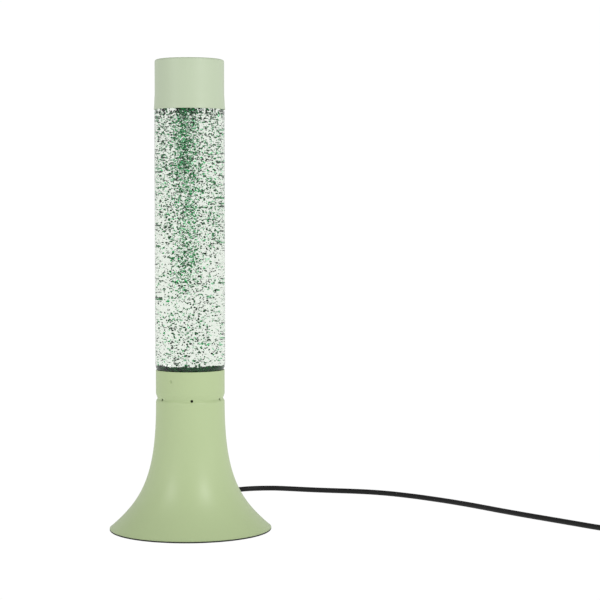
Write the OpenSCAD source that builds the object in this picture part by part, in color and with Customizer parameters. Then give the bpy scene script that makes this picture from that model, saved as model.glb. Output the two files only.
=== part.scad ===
/* [Base] */
// Radius of the base at its rim
base_r = 68.6; // [56:0.2:84]
// Radius of the neck that the bottle stands in
neck_r = 29.1; // [24:0.1:35]
// Thickness of the spun metal shell
shell_wall = 0.9; // [0.7:0.05:1.2]
// Height of the neck's lip above the table
lip_z = 136.2; // [110:0.2:162]
// Height of metal between the lip and the groove's deepest line
collar_h = 24.3; // [19:0.1:28]
// Depth of the groove around the neck
groove_depth = 1.5; // [1:0.1:2.4]
// Height of the groove's long upper slope
groove_upper = 4.2; // [3:0.1:5]
// Height of the groove's short lower slope
groove_lower = 2.4; // [2:0.1:4]
// Radius of each vent hole in the groove
vent_r = 1; // [0.6:0.1:1.4]
// Number of vent holes in the groove
vent_count = 6; // [3:1:12]
// Radius of the dimples that centre the bottle
dimple_r = 2.5; // [2:0.1:4]
// Depth of the dimples
dimple_depth = 0.5; // [0.3:0.1:0.6]
// Height of the dimples above the groove's deepest line
dimple_rise = 15.8; // [10:0.1:17]

/* [Bottom] */
// Thickness of the rubber foot ring under the rim
foot_t = 1.4; // [1:0.1:2.5]
// Width of the foot ring
foot_w = 9.8; // [8.5:0.1:14]
// Height of the step that carries the bottom cover
foot_step = 1.6; // [1.2:0.1:3]
// Distance from the rim to the edge of the bottom cover
cover_inset = 6.8; // [6:0.1:8]
// Thickness of the bottom cover
cover_t = 2.4; // [1.6:0.1:3]
// Radius of the ring of air holes in the bottom cover
air_ring_r = 38; // [36:0.5:39]
// Radius of each air hole
air_hole_r = 2.5; // [1.5:0.1:3]
// Distance from the rim to the screws of the bottom cover
post_inset = 13; // [12:0.5:15]
// Radius of the screw posts inside the shell
post_r = 4; // [3:0.1:5]

/* [Bottle] */
// Height of glass that shows between the lip and the cap
glass_h = 219.2; // [184:0.2:265]
// How far the glass stands proud of the neck
glass_proud = 0.5; // [0.3:0.1:1.5]
// Thickness of the glass
glass_t = 2.5; // [2:0.1:3]
// Radius that turns the glass in above the lip
turn_r = 14; // [10:0.5:18]
// Radius of the glass shoulder under the cap
shoulder_r = 8; // [7:0.5:10]
// Radius of the glass neck
mouth_r = 13; // [11:0.5:14]
// Length of the glass neck
mouth_h = 14; // [12:0.5:18]
// Thickness of the metal closure
closure_t = 0.8; // [0.6:0.1:1.2]
// Thickness of the sealing disc
seal_t = 1.2; // [0.8:0.1:1.6]
// Number of glitter flakes in the model
flake_count = 120; // [40:1:160]
// Radius of a glitter flake
flake_r = 1.4; // [0.8:0.1:1.8]
// Thickness of a glitter flake
flake_t = 0.3; // [0.2:0.05:0.5]

/* [Top cap] */
// Height of the cap
cap_h = 41.8; // [38:0.2:50]
// Thickness of the cap's metal
cap_wall = 0.7; // [0.5:0.05:0.8]
// How much slimmer the cap is than the glass
cap_slim = 0.4; // [0:0.05:0.5]
// How far the cap's hem flares out
hem_flare = 0.8; // [0.6:0.05:1]
// Height of the flared hem
hem_h = 13; // [6:0.5:16]
// Radius of the cap's top edge
cap_edge_r = 1.8; // [1:0.1:4]
// Height of the plastic insert's outer skirt
insert_h = 9; // [7:0.5:12]

/* [Bulb and holder] */
// Radius of the reflector bulb
bulb_r = 19.5; // [17:0.5:20]
// Length of the bulb over all
bulb_l = 67; // [62:0.5:69]
// Space between the bulb and the bottle
bulb_gap = 12.8; // [8:0.2:14]
// Radius of the bulb's screw cap
screw_r = 6.9; // [6.8:0.05:7]
// Radius of the lampholder
holder_r = 13; // [12:0.5:15]
// Height of the lampholder
holder_h = 38; // [36:0.5:42]
// Radius of the threaded tube under the lampholder
nipple_r = 5; // [4.5:0.1:5.5]
// Thickness of the steel bracket
bracket_t = 1.5; // [1.2:0.1:2]
// Half the width of the bracket's bridge
bridge_x = 17; // [16:0.5:18]

/* [Cord] */
// Radius of the cord
cord_r = 2.4; // [2:0.1:2.9]
// Height of the cord where it leaves the base
gland_z = 8; // [7.8:0.1:9]
// Radius of the gland where it passes the shell
gland_r = 4.4; // [4:0.1:5]
// Length of the tapered strain relief
relief_l = 24; // [20:0.5:30]
// Radius of a single insulated core
core_r = 0.9; // [0.7:0.05:1]

/* [Switch] */
// Length of the cord switch
switch_l = 58; // [54:0.5:66]
// Width of the cord switch
switch_w = 26; // [24:0.5:30]
// Height of the cord switch
switch_h = 16; // [15.5:0.5:18]
// Wall of the cord switch
switch_wall = 1.6; // [1.4:0.1:2]
// Length of the rocker
rocker_l = 18; // [16:0.5:20]
// Width of the rocker
rocker_w = 11; // [9:0.5:12]
// Tilt of the rocker each way
rocker_tilt = 8; // [6:0.5:9]

/* [Plug] */
// Width of the flat two-pin plug
plug_w = 35.3; // [35.3]
// Thickness of the plug
plug_t = 13.7; // [13.7]
// Length of the plug's body
plug_l = 35; // [34:0.5:40]
// Radius of a plug pin
pin_r = 2; // [2]
// Length of a plug pin
pin_l = 19; // [19]
// Distance between the pins
pin_gap = 18.6; // [18.6]

/* [Hidden] */
$fn = 64;
slack = 0.05;
running = 0.1;
body_gap = 0.3;
cut = 20;
nothing = 0.01;

// Heights up the lamp
groove_z = lip_z - collar_h;
hem_z = lip_z + glass_h;
cap_top_z = hem_z + cap_h;
cover_z = foot_t + foot_step;
cover_top = cover_z + cover_t;

// The bulb hangs below the bottle's seat, and in a short base it stands on the cover and lifts the seat
lead_drop = 5.1;
under_bridge = lead_drop + core_r + 0.3;
bulb_rise = bracket_t + 18 + bulb_l;
seat_low = groove_z + groove_upper - 0.9;
bulb_top = max(seat_low + 2.4 - bulb_gap, cover_top + under_bridge + bulb_rise);
seat_z = max(seat_low + 2.4, bulb_top + 3);
bulb_tip = bulb_top - bulb_l;
bridge_z = bulb_top - bulb_rise;
holder_z = bridge_z + bracket_t;

// Outline of the flare: a curve from the neck down to the rim
rim_edge = 0.4;
hem_w = 1.3;
flare_steps = 22;
flare_end = 0.96;
flare_a = [neck_r, groove_z - groove_lower - 1.5];
flare_b = [neck_r, 0.405 * flare_a[1]];
flare_d = [base_r - rim_edge, foot_t + 0.5];
flare_c = [flare_d[0] - 25.5, flare_d[1] + 22.4];
function curve_at(t) = pow(1 - t, 3) * flare_a + 3 * t * pow(1 - t, 2) * flare_b
    + 3 * t * t * (1 - t) * flare_c + pow(t, 3) * flare_d;
function curve_way(t) = pow(1 - t, 2) * (flare_b - flare_a) + 2 * t * (1 - t) * (flare_c - flare_b)
    + t * t * (flare_d - flare_c);
function inward(t) = let (w = curve_way(t)) [w[1], -w[0]] / norm(w);
function flare_skin(depth, last) = [for (i = [0:flare_steps])
    let (t = last * i / flare_steps) curve_at(t) + depth * inward(t)];
function arc_points(centre, radius, from, to, steps) = [for (i = [0:steps])
    let (a = from + (to - from) * i / steps) centre + radius * [cos(a), sin(a)]];
function backwards(list) = [for (i = [len(list) - 1:-1:0]) list[i]];
function box_outline(x, y, r) = concat(
    arc_points([x - r, y - r], r, 0, 90, 5), arc_points([r - x, y - r], r, 90, 180, 5),
    arc_points([r - x, r - y], r, 180, 270, 5), arc_points([x - r, r - y], r, 270, 360, 5));

// The groove around the neck, from its top edge down, at a given depth of skin
function groove_line(depth) = [
    [neck_r - depth, groove_z + groove_upper + 0.5],
    [neck_r - depth - 0.15, groove_z + groove_upper - 0.4],
    [neck_r - depth - groove_depth + 0.15, groove_z + 0.4],
    [neck_r - depth - groove_depth, groove_z],
    [neck_r - depth - groove_depth + 0.2, groove_z - 0.4],
    [neck_r - depth - 0.3, groove_z - groove_lower + 0.7],
    [neck_r - depth, groove_z - groove_lower - 0.2]];
neck_bore = neck_r - shell_wall;
bead_bore = neck_bore - groove_depth;
dimple_angles = [239, 359, 119];
vent_first = 276;

// Bottle
bottle_r = neck_r + glass_proud;
spigot_r = neck_bore - 0.7;
spigot_hide = 1.2;
turn_angle = acos(1 - (bottle_r - spigot_r) / turn_r);
turn_z = lip_z - spigot_hide + turn_r * sin(turn_angle);
shoulder_z = hem_z - 3.3;
shoulder_angle = 70;
shoulder_end = [bottle_r - shoulder_r * (1 - cos(shoulder_angle)), shoulder_z + shoulder_r * sin(shoulder_angle)];
mouth_z = shoulder_end[1] + 0.36 * (shoulder_end[0] - mouth_r) + mouth_h;
foot_corner = 2;
fill_z = shoulder_z + shoulder_r;
closure_top = mouth_z + seal_t + closure_t;
closure_r = mouth_r + running + closure_t;
closure_skirt = 8;

// The glass outline at a given depth, from the foot up to the mouth
function glass_line(depth, base, top) = concat(
    arc_points([spigot_r - foot_corner - depth, base + foot_corner], foot_corner, 270, 360, 4),
    [for (i = [0:5]) let (a = turn_angle * (1 - i / 5))
        [bottle_r - turn_r + (turn_r - depth) * cos(a), turn_z - (turn_r - depth) * sin(a)]],
    arc_points([bottle_r - shoulder_r, shoulder_z], shoulder_r - depth, 0, shoulder_angle, 6),
    [[mouth_r - depth + 1.2, top - mouth_h - 0.4 * depth], [mouth_r - depth, top - mouth_h + 1.6], [mouth_r - depth, top]]);

// Cap
cap_r = bottle_r - cap_slim;
function hem_line(radius) = [for (step = [[1, 0.02], [0.55, 0.3], [0.35, 0.65], [0, 1]])
    [radius + step[0] * hem_flare, hem_z + step[1] * hem_h]];
insert_r = cap_r - cap_wall - slack;
insert_t = 1.6;

// Cord and gland places on the Y axis, outwards from the lamp's middle
block_out = base_r - 15.3;
block_in = block_out - 5.8;
clamp_y = block_in - 5.7;
clamp_half = 3;
terminal_y = clamp_y - 14;
terminal_half = 6;
relief_y = base_r + 0.7;
relief_tip = relief_y + relief_l;
relief_tip_r = cord_r + 0.6;

// Switch and plug places
switch_x = 391;
switch_y = -27;
entry_z = 7;
screw_recess = 2.1;
rocker_axle_z = switch_h - 5;
rocker_x = switch_x + switch_l / 2;
axle_r = 1.1;
rocker_crest = 5.4;
opening_half = rocker_l / 2 * cos(rocker_tilt) + rocker_crest * sin(rocker_tilt) + body_gap;
plug_x = 436;
plug_y = 82;
plug_z = plug_t / 2;
sleeve_l = 10;
sleeve_r = pin_r - 0.25;
pin_core_r = 1.3;

// Routes of the cord: along the table behind the lamp, then out to the right and forward
run_points = [
    [0, 93.3, 8], [0, 98, 8], [0, 108, 7.2], [0, 120, 5.4], [0, 132, 3.6], [1, 143, 2.6], [3, 154, 2.5],
    [6, 165, 2.5], [11, 176, 2.5], [19, 187, 2.5], [29, 198, 2.5], [41, 206.5, 2.5], [55, 210.5, 2.5],
    [69, 211, 2.5], [83, 207.5, 2.5], [97, 203, 2.5], [111, 199, 2.5], [126, 195.5, 2.5], [141, 192.3, 2.5],
    [155, 188.3, 2.5], [168, 183, 2.5], [181, 175.5, 2.5], [193, 166.5, 2.5], [205, 156.5, 2.5],
    [216, 146, 2.5], [227, 135, 2.5], [238, 123, 2.5], [249, 110, 2.5], [260, 96, 2.5], [271, 81.5, 2.5],
    [283, 66.5, 2.5], [295, 52, 2.5], [307, 38, 2.5], [319, 24, 2.5], [331, 10, 2.5], [343, -4, 2.5], [354, -15, 2.6], [366, -23, 3.7],
    [378, -26.5, 5.6], [391, -27, 7]];
to_coil_points = [
    [449, -27, 7], [460, -27, 5.3], [470, -25, 3.9], [479, -19, 3.4], [485, -10, 3.4], [488, 1, 3.4],
    [489, 12, 3.4], [489, 24, 3.4]];
to_plug_points = [
    [457, 53.5, 7.8], [448, 55, 8.2], [441, 59.5, 7.9], [437.2, 66, 7.2], [436, 74, 6.85], [436, 82, 6.85]];
coil_x = 457;
coil_y = 24;
coil_low = 3.4;
coil_high = 7.8;
coil_in_r = 22;
coil_out_r = 32;
tie_t = 0.6;
tie_w = 5;
tie_angle = 200;

// Routes of the insulated cores inside the base
core_start_y = clamp_y - clamp_half + 0.5;
core_x = 4.5;
core_z = 10;
function core_route(s) = [
    [s * 1.1, core_start_y, gland_z], [s * 1.1, core_start_y - 1, gland_z],
    [s * 2.4, core_start_y - 3, gland_z + 0.8],
    [s * core_x, terminal_y + terminal_half + 0.4, core_z], [s * core_x, terminal_y + 2.5, core_z]];
function lead_route(s, end) = concat([
    [s * core_x, terminal_y - 2.5, core_z], [s * core_x, terminal_y - terminal_half - 1.5, core_z],
    [s * 3.6, terminal_y - terminal_half - 6, core_z - 0.6],
    [s * 2.2, 8, min(core_z - 0.6, bridge_z - lead_drop)], [s * 1.7, 3, min(core_z, bridge_z - lead_drop)],
    [s * 1.5, 0.6, bridge_z - 4.6], [s * 1.5, 0, bridge_z]], end);
live_end = [[-1.5, 0, holder_z + 6], [-1.2, 0, holder_z + 9.5], [-0.3, 0, holder_z + 12.6]];
neutral_end = [[1.5, 0, holder_z + 6], [3.4, 0, holder_z + 9], [6, 0, holder_z + 13], [6, 0, holder_z + 19.6]];

// Shared shapes
module spin(points) {
    rotate_extrude() polygon(points);
}

module ring(inner, outer, low, high) {
    spin([[inner, low], [outer, low], [outer, high], [inner, high]]);
}

module rod_y(radius, from, to, x, z) {
    translate([x, to, z]) rotate([90, 0, 0]) cylinder(r = radius, h = to - from);
}

module rod_x(radius, from, to, y, z) {
    translate([from, y, z]) rotate([0, 90, 0]) cylinder(r = radius, h = to - from);
}

module block(low, high) {
    translate(low) cube(high - low);
}

// A pan-head screw that points up, its head's underside at z = 0
module screw_up(shank_r, length, head_r, head_h) {
    cylinder(r = shank_r, h = length);
    difference() {
        translate([0, 0, -head_h]) cylinder(r = head_r, h = head_h);
        for (turn = [0, 90]) rotate(turn) translate([-0.3, -head_r * 0.6, -head_h - nothing])
            cube([0.6, head_r * 1.2, head_h * 0.5]);
    }
}

// A tube through a list of points, one ring of corners at each point
module tube(points, radius, sides) {
    last = len(points) - 1;
    ways = [for (i = [0:last]) let (w = points[min(i + 1, last)] - points[max(i - 1, 0)]) w / norm(w)];
    steep = abs(ways[0][2]) > 0.9 || abs(ways[last][2]) > 0.9;
    up = steep ? [1, 0, 0] : [0, 0, 1];
    corners = [for (i = [0:last], k = [0:sides - 1])
        let (across = cross(ways[i], up), side = across / norm(across), rise = cross(side, ways[i]),
            a = 360 * (k + 0.5) / sides)
        points[i] + radius * (cos(a) * side + sin(a) * rise)];
    walls = [for (i = [0:last - 1], k = [0:sides - 1]) let (n = (k + 1) % sides)
        [i * sides + k, i * sides + n, (i + 1) * sides + n, (i + 1) * sides + k]];
    ends = [[for (k = [sides - 1:-1:0]) k], [for (k = [0:sides - 1]) last * sides + k]];
    polyhedron(points = corners, faces = concat(walls, ends), convexity = 6);
}

// Base
module shell_envelope(gap) {
    spin(concat([[0, groove_z]], [[neck_bore - gap, groove_z]], flare_skin(shell_wall + gap, flare_end),
        [[base_r - hem_w - gap, foot_t]], [[0, foot_t]]));
}

module dimple(radius_at, depth) {
    for (a = dimple_angles) rotate(a)
        translate([radius_at + dimple_r - depth, 0, groove_z + dimple_rise]) sphere(r = dimple_r);
}

module base_shell() {
    lip_round = 0.45;
    color("darkseagreen") difference() {
        union() {
            spin(concat(
                [[neck_bore + 0.4, lip_z], [neck_r - lip_round, lip_z], [neck_r, lip_z - lip_round]],
                groove_line(0), flare_skin(0, 1), [[base_r, foot_t + 0.1], [base_r - 0.1, foot_t]],
                [[base_r - hem_w, foot_t]], backwards(flare_skin(shell_wall, flare_end)),
                backwards(groove_line(shell_wall)), [[neck_bore, lip_z - 0.6]]));
            intersection() {
                dimple(neck_bore, dimple_depth - 0.1);
                ring(neck_bore - 1, neck_bore + shell_wall / 2, groove_z, lip_z);
            }
        }
        dimple(neck_r, dimple_depth);
        for (i = [0:vent_count - 1]) rotate(vent_first + 360 * i / vent_count)
            rod_x(vent_r, bead_bore - cut, neck_r + cut, 0, groove_z);
        gland_notch(gland_r + body_gap, block_in);
    }
}

module gland_notch(radius, from) {
    rod_y(radius, from, base_r + cut, 0, gland_z);
    block([-radius, from, -nothing], [radius, base_r + cut, gland_z]);
}

module foot_ring() {
    color("black") spin([
        [base_r - foot_w, 0], [base_r - 0.6, 0], [base_r, 0.4], [base_r, foot_t - slack],
        [base_r - cover_inset + 0.3, foot_t - slack], [base_r - cover_inset - 0.4, cover_z - slack],
        [base_r - foot_w, cover_z - slack]]);
}

module at_posts() {
    for (a = [30, 150, 270]) rotate(a) translate([base_r - post_inset, 0, 0]) children();
}

module cover_posts() {
    color("silver") difference() {
        intersection() {
            at_posts() translate([0, 0, cover_top + slack]) cylinder(r = post_r, h = cut);
            shell_envelope(slack);
        }
        at_posts() cylinder(r = 1.25, h = cover_top + 6);
    }
}

module bottom_cover() {
    edge_r = base_r - cover_inset;
    color("dimgray") difference() {
        spin([[0, cover_z], [edge_r - 0.4, cover_z], [edge_r, cover_z + 0.4], [edge_r, cover_top], [0, cover_top]]);
        for (i = [0:15]) if (abs(i * 22.5 - 90) > 30) rotate(i * 22.5)
            translate([air_ring_r, 0, 0]) cylinder(r = air_hole_r, h = cut);
        at_posts() cylinder(r = 1.6, h = cut);
        at_bracket_screws() cylinder(r = 1.6, h = cut);
        at_clamp_screws() cylinder(r = 1.2, h = cut);
        block([-6.4, block_in - 0.4, 0], [6.4, base_r, cut]);
        rod_y(cord_r + slack, core_start_y - 1, base_r, 0, gland_z);
    }
}

module cover_screws() {
    color("silver") at_posts() translate([0, 0, cover_z]) screw_up(1.2, cover_t + 5.5, 2.8, 1.7);
}

module seat_ring() {
    outer = neck_bore - 0.2;
    color("gainsboro") spin([
        [bead_bore - 1.6, seat_z - slack], [bead_bore - 1.6, seat_low],
        [bead_bore + groove_depth * (groove_upper - 1.3) / groove_upper - 0.2, seat_low],
        [outer - 0.1, seat_low + 1.2], [outer, seat_z - slack]]);
}

// Lampholder
module at_bracket_screws() {
    for (s = [-1, 1]) translate([s * (bridge_x + 6.5), 0, 0]) children();
}

module holder_bracket() {
    foot_x = bridge_x + 12;
    half_y = 9;
    color("silver") difference() {
        union() {
            block([-bridge_x, -half_y, bridge_z], [bridge_x, half_y, holder_z]);
            for (s = [-1, 1]) scale([s, 1, 1]) {
                block([bridge_x - bracket_t, -half_y, cover_top + slack], [bridge_x, half_y, holder_z]);
                block([bridge_x - bracket_t, -half_y, cover_top + slack],
                    [foot_x, half_y, cover_top + slack + bracket_t]);
            }
        }
        cylinder(r = nipple_r + 0.15, h = holder_z + cut);
        at_bracket_screws() cylinder(r = 1.45, h = holder_z);
    }
}

module bracket_screws() {
    color("silver") at_bracket_screws() translate([0, 0, cover_z])
        screw_up(1.4, cover_t + bracket_t + 2.2, 2.6, 1.6);
}

module holder_nipple() {
    color("silver") ring(nipple_r - 1.4, nipple_r, bridge_z - 4, holder_z + 4.6);
}

module nipple_nut() {
    color("silver") difference() {
        translate([0, 0, bridge_z - 3.5]) cylinder(r = nipple_r + 2.6, h = 3.45, $fn = 6);
        translate([0, 0, bridge_z - 4]) cylinder(r = nipple_r + slack, h = 5);
    }
}

module lampholder_body() {
    top = holder_z + holder_h;
    bore = screw_r + 1.1;
    shelf_low = holder_z + 15;
    shelf_high = holder_z + 17;
    color("ivory") difference() {
        spin([
            [nipple_r + slack, holder_z + slack], [holder_r - 0.8, holder_z + slack],
            [holder_r, holder_z + 0.8], [holder_r, top - 7], [holder_r + 1.2, top - 6],
            [holder_r + 1.2, top - 0.8], [holder_r + 0.4, top], [bore, top], [bore, shelf_high],
            [1.3, shelf_high], [1.3, shelf_low], [holder_r - 3, shelf_low], [holder_r - 3, holder_z + 5],
            [nipple_r + slack, holder_z + 5]]);
        translate([6, 0, shelf_low - 1]) cylinder(r = core_r + 0.3, h = 4);
    }
}

module holder_sleeve() {
    color("goldenrod") ring(screw_r + running, screw_r + 1.1 - slack, holder_z + 20, holder_z + holder_h - 2);
}

module holder_centre_contact() {
    color("goldenrod") union() {
        translate([0, 0, holder_z + 17 + slack]) cylinder(r = 2.6, h = 0.85);
        translate([0, 0, holder_z + 13.6]) cylinder(r = 1.2, h = 3.8);
    }
}

// Cord anchorage and wiring
module cord_gland() {
    color("black") difference() {
        union() {
            rod_y(6, block_in, block_out, 0, gland_z);
            rod_y(gland_r, block_out - 1, relief_y, 0, gland_z);
            rod_y(5.6, relief_y, relief_y + 2, 0, gland_z);
            translate([0, relief_y + 2, gland_z]) rotate([-90, 0, 0])
                cylinder(r1 = gland_r, r2 = relief_tip_r, h = relief_l - 2);
        }
        rod_y(cord_r + running, block_in - cut, relief_tip + cut, 0, gland_z);
        for (i = [0:3]) let (y = relief_y + 6 + 4 * i) difference() {
            rod_y(gland_r + 1, y, y + 1.4, 0, gland_z);
            rod_y(relief_tip_r, y - 1, y + 3, 0, gland_z);
        }
    }
}

module at_clamp_screws() {
    for (s = [-1, 1]) translate([s * 8.5, clamp_y, 0]) children();
    translate([0, terminal_y, 0]) children();
}

module cord_clamp() {
    top = gland_z + 4.5;
    color("dimgray") difference() {
        block([-12, clamp_y - clamp_half, cover_top + slack], [12, clamp_y + clamp_half, top]);
        rod_y(cord_r + slack, clamp_y - cut, clamp_y + cut, 0, gland_z);
        block([-cord_r - slack, clamp_y - cut, 0], [cord_r + slack, clamp_y + cut, gland_z]);
        for (s = [-1, 1]) translate([s * 8.5, clamp_y, 0]) cylinder(r = 1.6, h = cut);
    }
}

module clamp_screws() {
    length = 9;
    for (place = [[-8.5, clamp_y, gland_z + 4.5], [8.5, clamp_y, gland_z + 4.5], [0, terminal_y, gland_z + 4.5]])
        color("silver") translate(place) rotate([180, 0, 0]) screw_up(1.15, length, 2.4, 1.4);
}

module terminal_block() {
    low = cover_top + slack;
    color("white") difference() {
        block([-10, terminal_y - terminal_half, low], [10, terminal_y + terminal_half, core_z + 6]);
        for (s = [-1, 1]) {
            rod_y(2.75, terminal_y - cut, terminal_y + cut, s * core_x, core_z);
            for (t = [-1, 1]) translate([s * core_x, terminal_y + t * 3, core_z]) cylinder(r = 1.5, h = cut);
        }
        translate([0, terminal_y, 0]) cylinder(r = 1.25, h = cut);
        translate([0, terminal_y, gland_z + 4.5]) cylinder(r = 2.6, h = cut);
        block([-1.2, terminal_y + 3.5, low + 3], [1.2, terminal_y + cut, cut]);
    }
}

module terminal_inserts() {
    color("goldenrod") for (s = [-1, 1]) difference() {
        rod_y(2.7, terminal_y - 5, terminal_y + 5, s * core_x, core_z);
        rod_y(1.6, terminal_y - cut, terminal_y + cut, s * core_x, core_z);
        for (t = [-1, 1]) translate([s * core_x, terminal_y + t * 3, core_z]) cylinder(r = 1.45, h = cut);
    }
}

module terminal_screws() {
    color("silver") for (s = [-1, 1], t = [-1, 1]) translate([s * core_x, terminal_y + t * 3, 0]) difference() {
        translate([0, 0, core_z + core_r + slack]) cylinder(r = 1.4, h = 4.4);
        translate([-2, -0.25, core_z + core_r + 3.6]) cube([4, 0.5, 2]);
    }
}

module lead_live() {
    color("saddlebrown") tube(lead_route(-1, live_end), core_r, 8);
}

module lead_neutral() {
    color("royalblue") tube(lead_route(1, neutral_end), core_r, 8);
}

module cord_cores() {
    color("saddlebrown") tube(core_route(-1), core_r, 8);
    color("royalblue") tube(core_route(1), core_r, 8);
}

module inner_cord() {
    color("black") rod_y(cord_r, core_start_y, relief_tip, 0, gland_z);
}

// The free cord and what is on it
module cord_run() {
    color("black") tube(run_points, cord_r, 10);
}

module cord_to_coil() {
    color("black") tube(to_coil_points, cord_r, 10);
}

module cord_to_plug() {
    color("black") tube(to_plug_points, cord_r, 10);
}

module coil_section(grow) {
    polygon([
        [coil_in_r - cord_r - grow, coil_low - cord_r - grow], [coil_out_r + cord_r + grow, coil_low - cord_r - grow],
        [coil_out_r + cord_r + grow, coil_low + cord_r], [coil_out_r, coil_high + cord_r + grow],
        [coil_in_r, coil_high + cord_r + grow], [coil_in_r - cord_r - grow, coil_low + cord_r]]);
}

module cord_coil() {
    color("black") translate([coil_x, coil_y, 0]) rotate_extrude() coil_section(0);
}

module cord_tie() {
    color("black") translate([coil_x, coil_y, 0]) rotate([0, 0, tie_angle]) rotate([90, 0, 0])
        translate([0, 0, -tie_w / 2]) linear_extrude(tie_w) difference() {
            coil_section(body_gap + tie_t);
            coil_section(body_gap);
        }
}

module plug_body() {
    half = plug_w / 2;
    rear = 7;
    color("black") difference() {
        translate([plug_x, plug_y, 0]) rotate([0, 0, 90]) linear_extrude(plug_t) polygon([
            [0, -rear / 2], [6, -rear / 2], [12, -half + 5], [20, -half + 1.5], [plug_l - 1, -half],
            [plug_l, -half + 1], [plug_l, half - 1], [plug_l - 1, half], [20, half - 1.5], [12, half - 5],
            [6, rear / 2], [0, rear / 2]]);
        at_pins() rod_x(pin_core_r + slack, -cut, 4, 0, 0);
    }
}

module at_pins() {
    for (s = [-1, 1]) translate([plug_x + s * pin_gap / 2, plug_y + plug_l, plug_z]) rotate([0, 0, -90]) children();
}

module plug_pins() {
    color("silver") at_pins() union() {
        rod_x(pin_core_r, -sleeve_l - 1, 3.9, 0, 0);
        rod_x(pin_r, -pin_l + 1, -sleeve_l, 0, 0);
        translate([-pin_l + 1, 0, 0]) rotate([0, -90, 0]) cylinder(r1 = pin_r, r2 = pin_r - 0.9, h = 1);
    }
}

module pin_sleeves() {
    color("black") at_pins() difference() {
        rod_x(sleeve_r, -sleeve_l + slack, -slack, 0, 0);
        rod_x(pin_core_r + slack, -cut, cut, 0, 0);
    }
}

// Cord switch
module at_switch() {
    translate([rocker_x, switch_y, 0]) children();
}

module at_switch_screws() {
    for (s = [-1, 1]) translate([s * (switch_l / 2 - 6), s * (switch_w / 2 - 6), 0]) children();
}

module switch_shell(low, high, floor_low, floor_high) {
    difference() {
        translate([0, 0, low]) linear_extrude(high - low)
            polygon(box_outline(switch_l / 2, switch_w / 2, 6));
        difference() {
            translate([0, 0, floor_low]) linear_extrude(floor_high - floor_low)
                polygon(box_outline(switch_l / 2 - switch_wall, switch_w / 2 - switch_wall, 5));
            at_switch_screws() cylinder(r = 3.8, h = switch_h);
        }
        rod_x(cord_r + slack, -switch_l, switch_l, 0, entry_z);
    }
}

module switch_base() {
    color("black") at_switch() difference() {
        switch_shell(0, entry_z - slack, switch_wall, entry_z + 1);
        at_switch_screws() cylinder(r = 1.7, h = cut);
        at_switch_screws() translate([0, 0, -nothing]) cylinder(r = 2.9, h = screw_recess + nothing);
    }
}

module switch_cover() {
    inside = switch_h - switch_wall;
    cheek = 2;
    color("black") at_switch() difference() {
        union() {
            switch_shell(entry_z, switch_h, entry_z - 1, inside);
            for (s = [-1, 1]) scale([1, s, 1])
                block([-4, rocker_w / 2 + body_gap, rocker_axle_z - 3], [4, rocker_w / 2 + body_gap + cheek, inside + 0.5]);
        }
        block([-opening_half, -rocker_w / 2 - body_gap, rocker_axle_z - 4],
            [opening_half, rocker_w / 2 + body_gap, switch_h + 1]);
        rod_y(axle_r + slack, -rocker_w / 2 - body_gap - cheek - 1, rocker_w / 2 + body_gap + cheek + 1, 0, rocker_axle_z);
        at_switch_screws() cylinder(r = 1.2, h = inside - 1);
    }
}

module rocker_pin() {
    half = rocker_w / 2 + body_gap + 2;
    color("silver") at_switch() rod_y(axle_r, -half, half, 0, rocker_axle_z);
}

module switch_terminals() {
    color("goldenrod") at_switch() for (s = [-1, 1], t = [-1, 1]) difference() {
        block([s * 15 - 3.5, t * 6 - 2, switch_wall + slack], [s * 15 + 3.5, t * 6 + 2, 6.4]);
        translate([s * 15 + s * 1.5, t * 6, 3]) cylinder(r = 1.1 + slack, h = cut);
        rod_x(1.1, s * 15 - 4, s * 15 + 4, t * 6, 3.6);
    }
}

module switch_terminal_screws() {
    color("silver") at_switch() for (s = [-1, 1], t = [-1, 1]) translate([s * 16.5, t * 6, 0]) difference() {
        translate([0, 0, 4.8]) cylinder(r = 1.1, h = 2.6);
        translate([-2, -0.25, 6.7]) cube([4, 0.5, 2]);
    }
}

module switch_screws() {
    color("silver") at_switch() at_switch_screws() translate([0, 0, screw_recess])
        screw_up(1.15, 8.5, 2.5, 1.5);
}

module switch_rocker() {
    half = rocker_l / 2;
    color("black") at_switch() translate([0, 0, rocker_axle_z]) rotate([0, -rocker_tilt, 0]) difference() {
        translate([0, rocker_w / 2, 0]) rotate([90, 0, 0]) linear_extrude(rocker_w) polygon([
            [-half, -0.6], [-3.4, -1.2], [-2.4, -2.4], [2.4, -2.4], [3.4, -1.2], [half, -0.6],
            [half, rocker_crest - 0.5], [half - 0.6, rocker_crest], [0, rocker_crest - 1.3],
            [-half + 0.6, rocker_crest], [-half, rocker_crest - 0.5]]);
        rod_y(axle_r + running, -rocker_w, rocker_w, 0, 0);
    }
}

module rocker_contact() {
    color("goldenrod") at_switch() translate([0, 0, rocker_axle_z]) rotate([0, -rocker_tilt, 0])
        block([-2.2, 1.4, -3.1], [2.2, 4.6, -2.4]);
}

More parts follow.
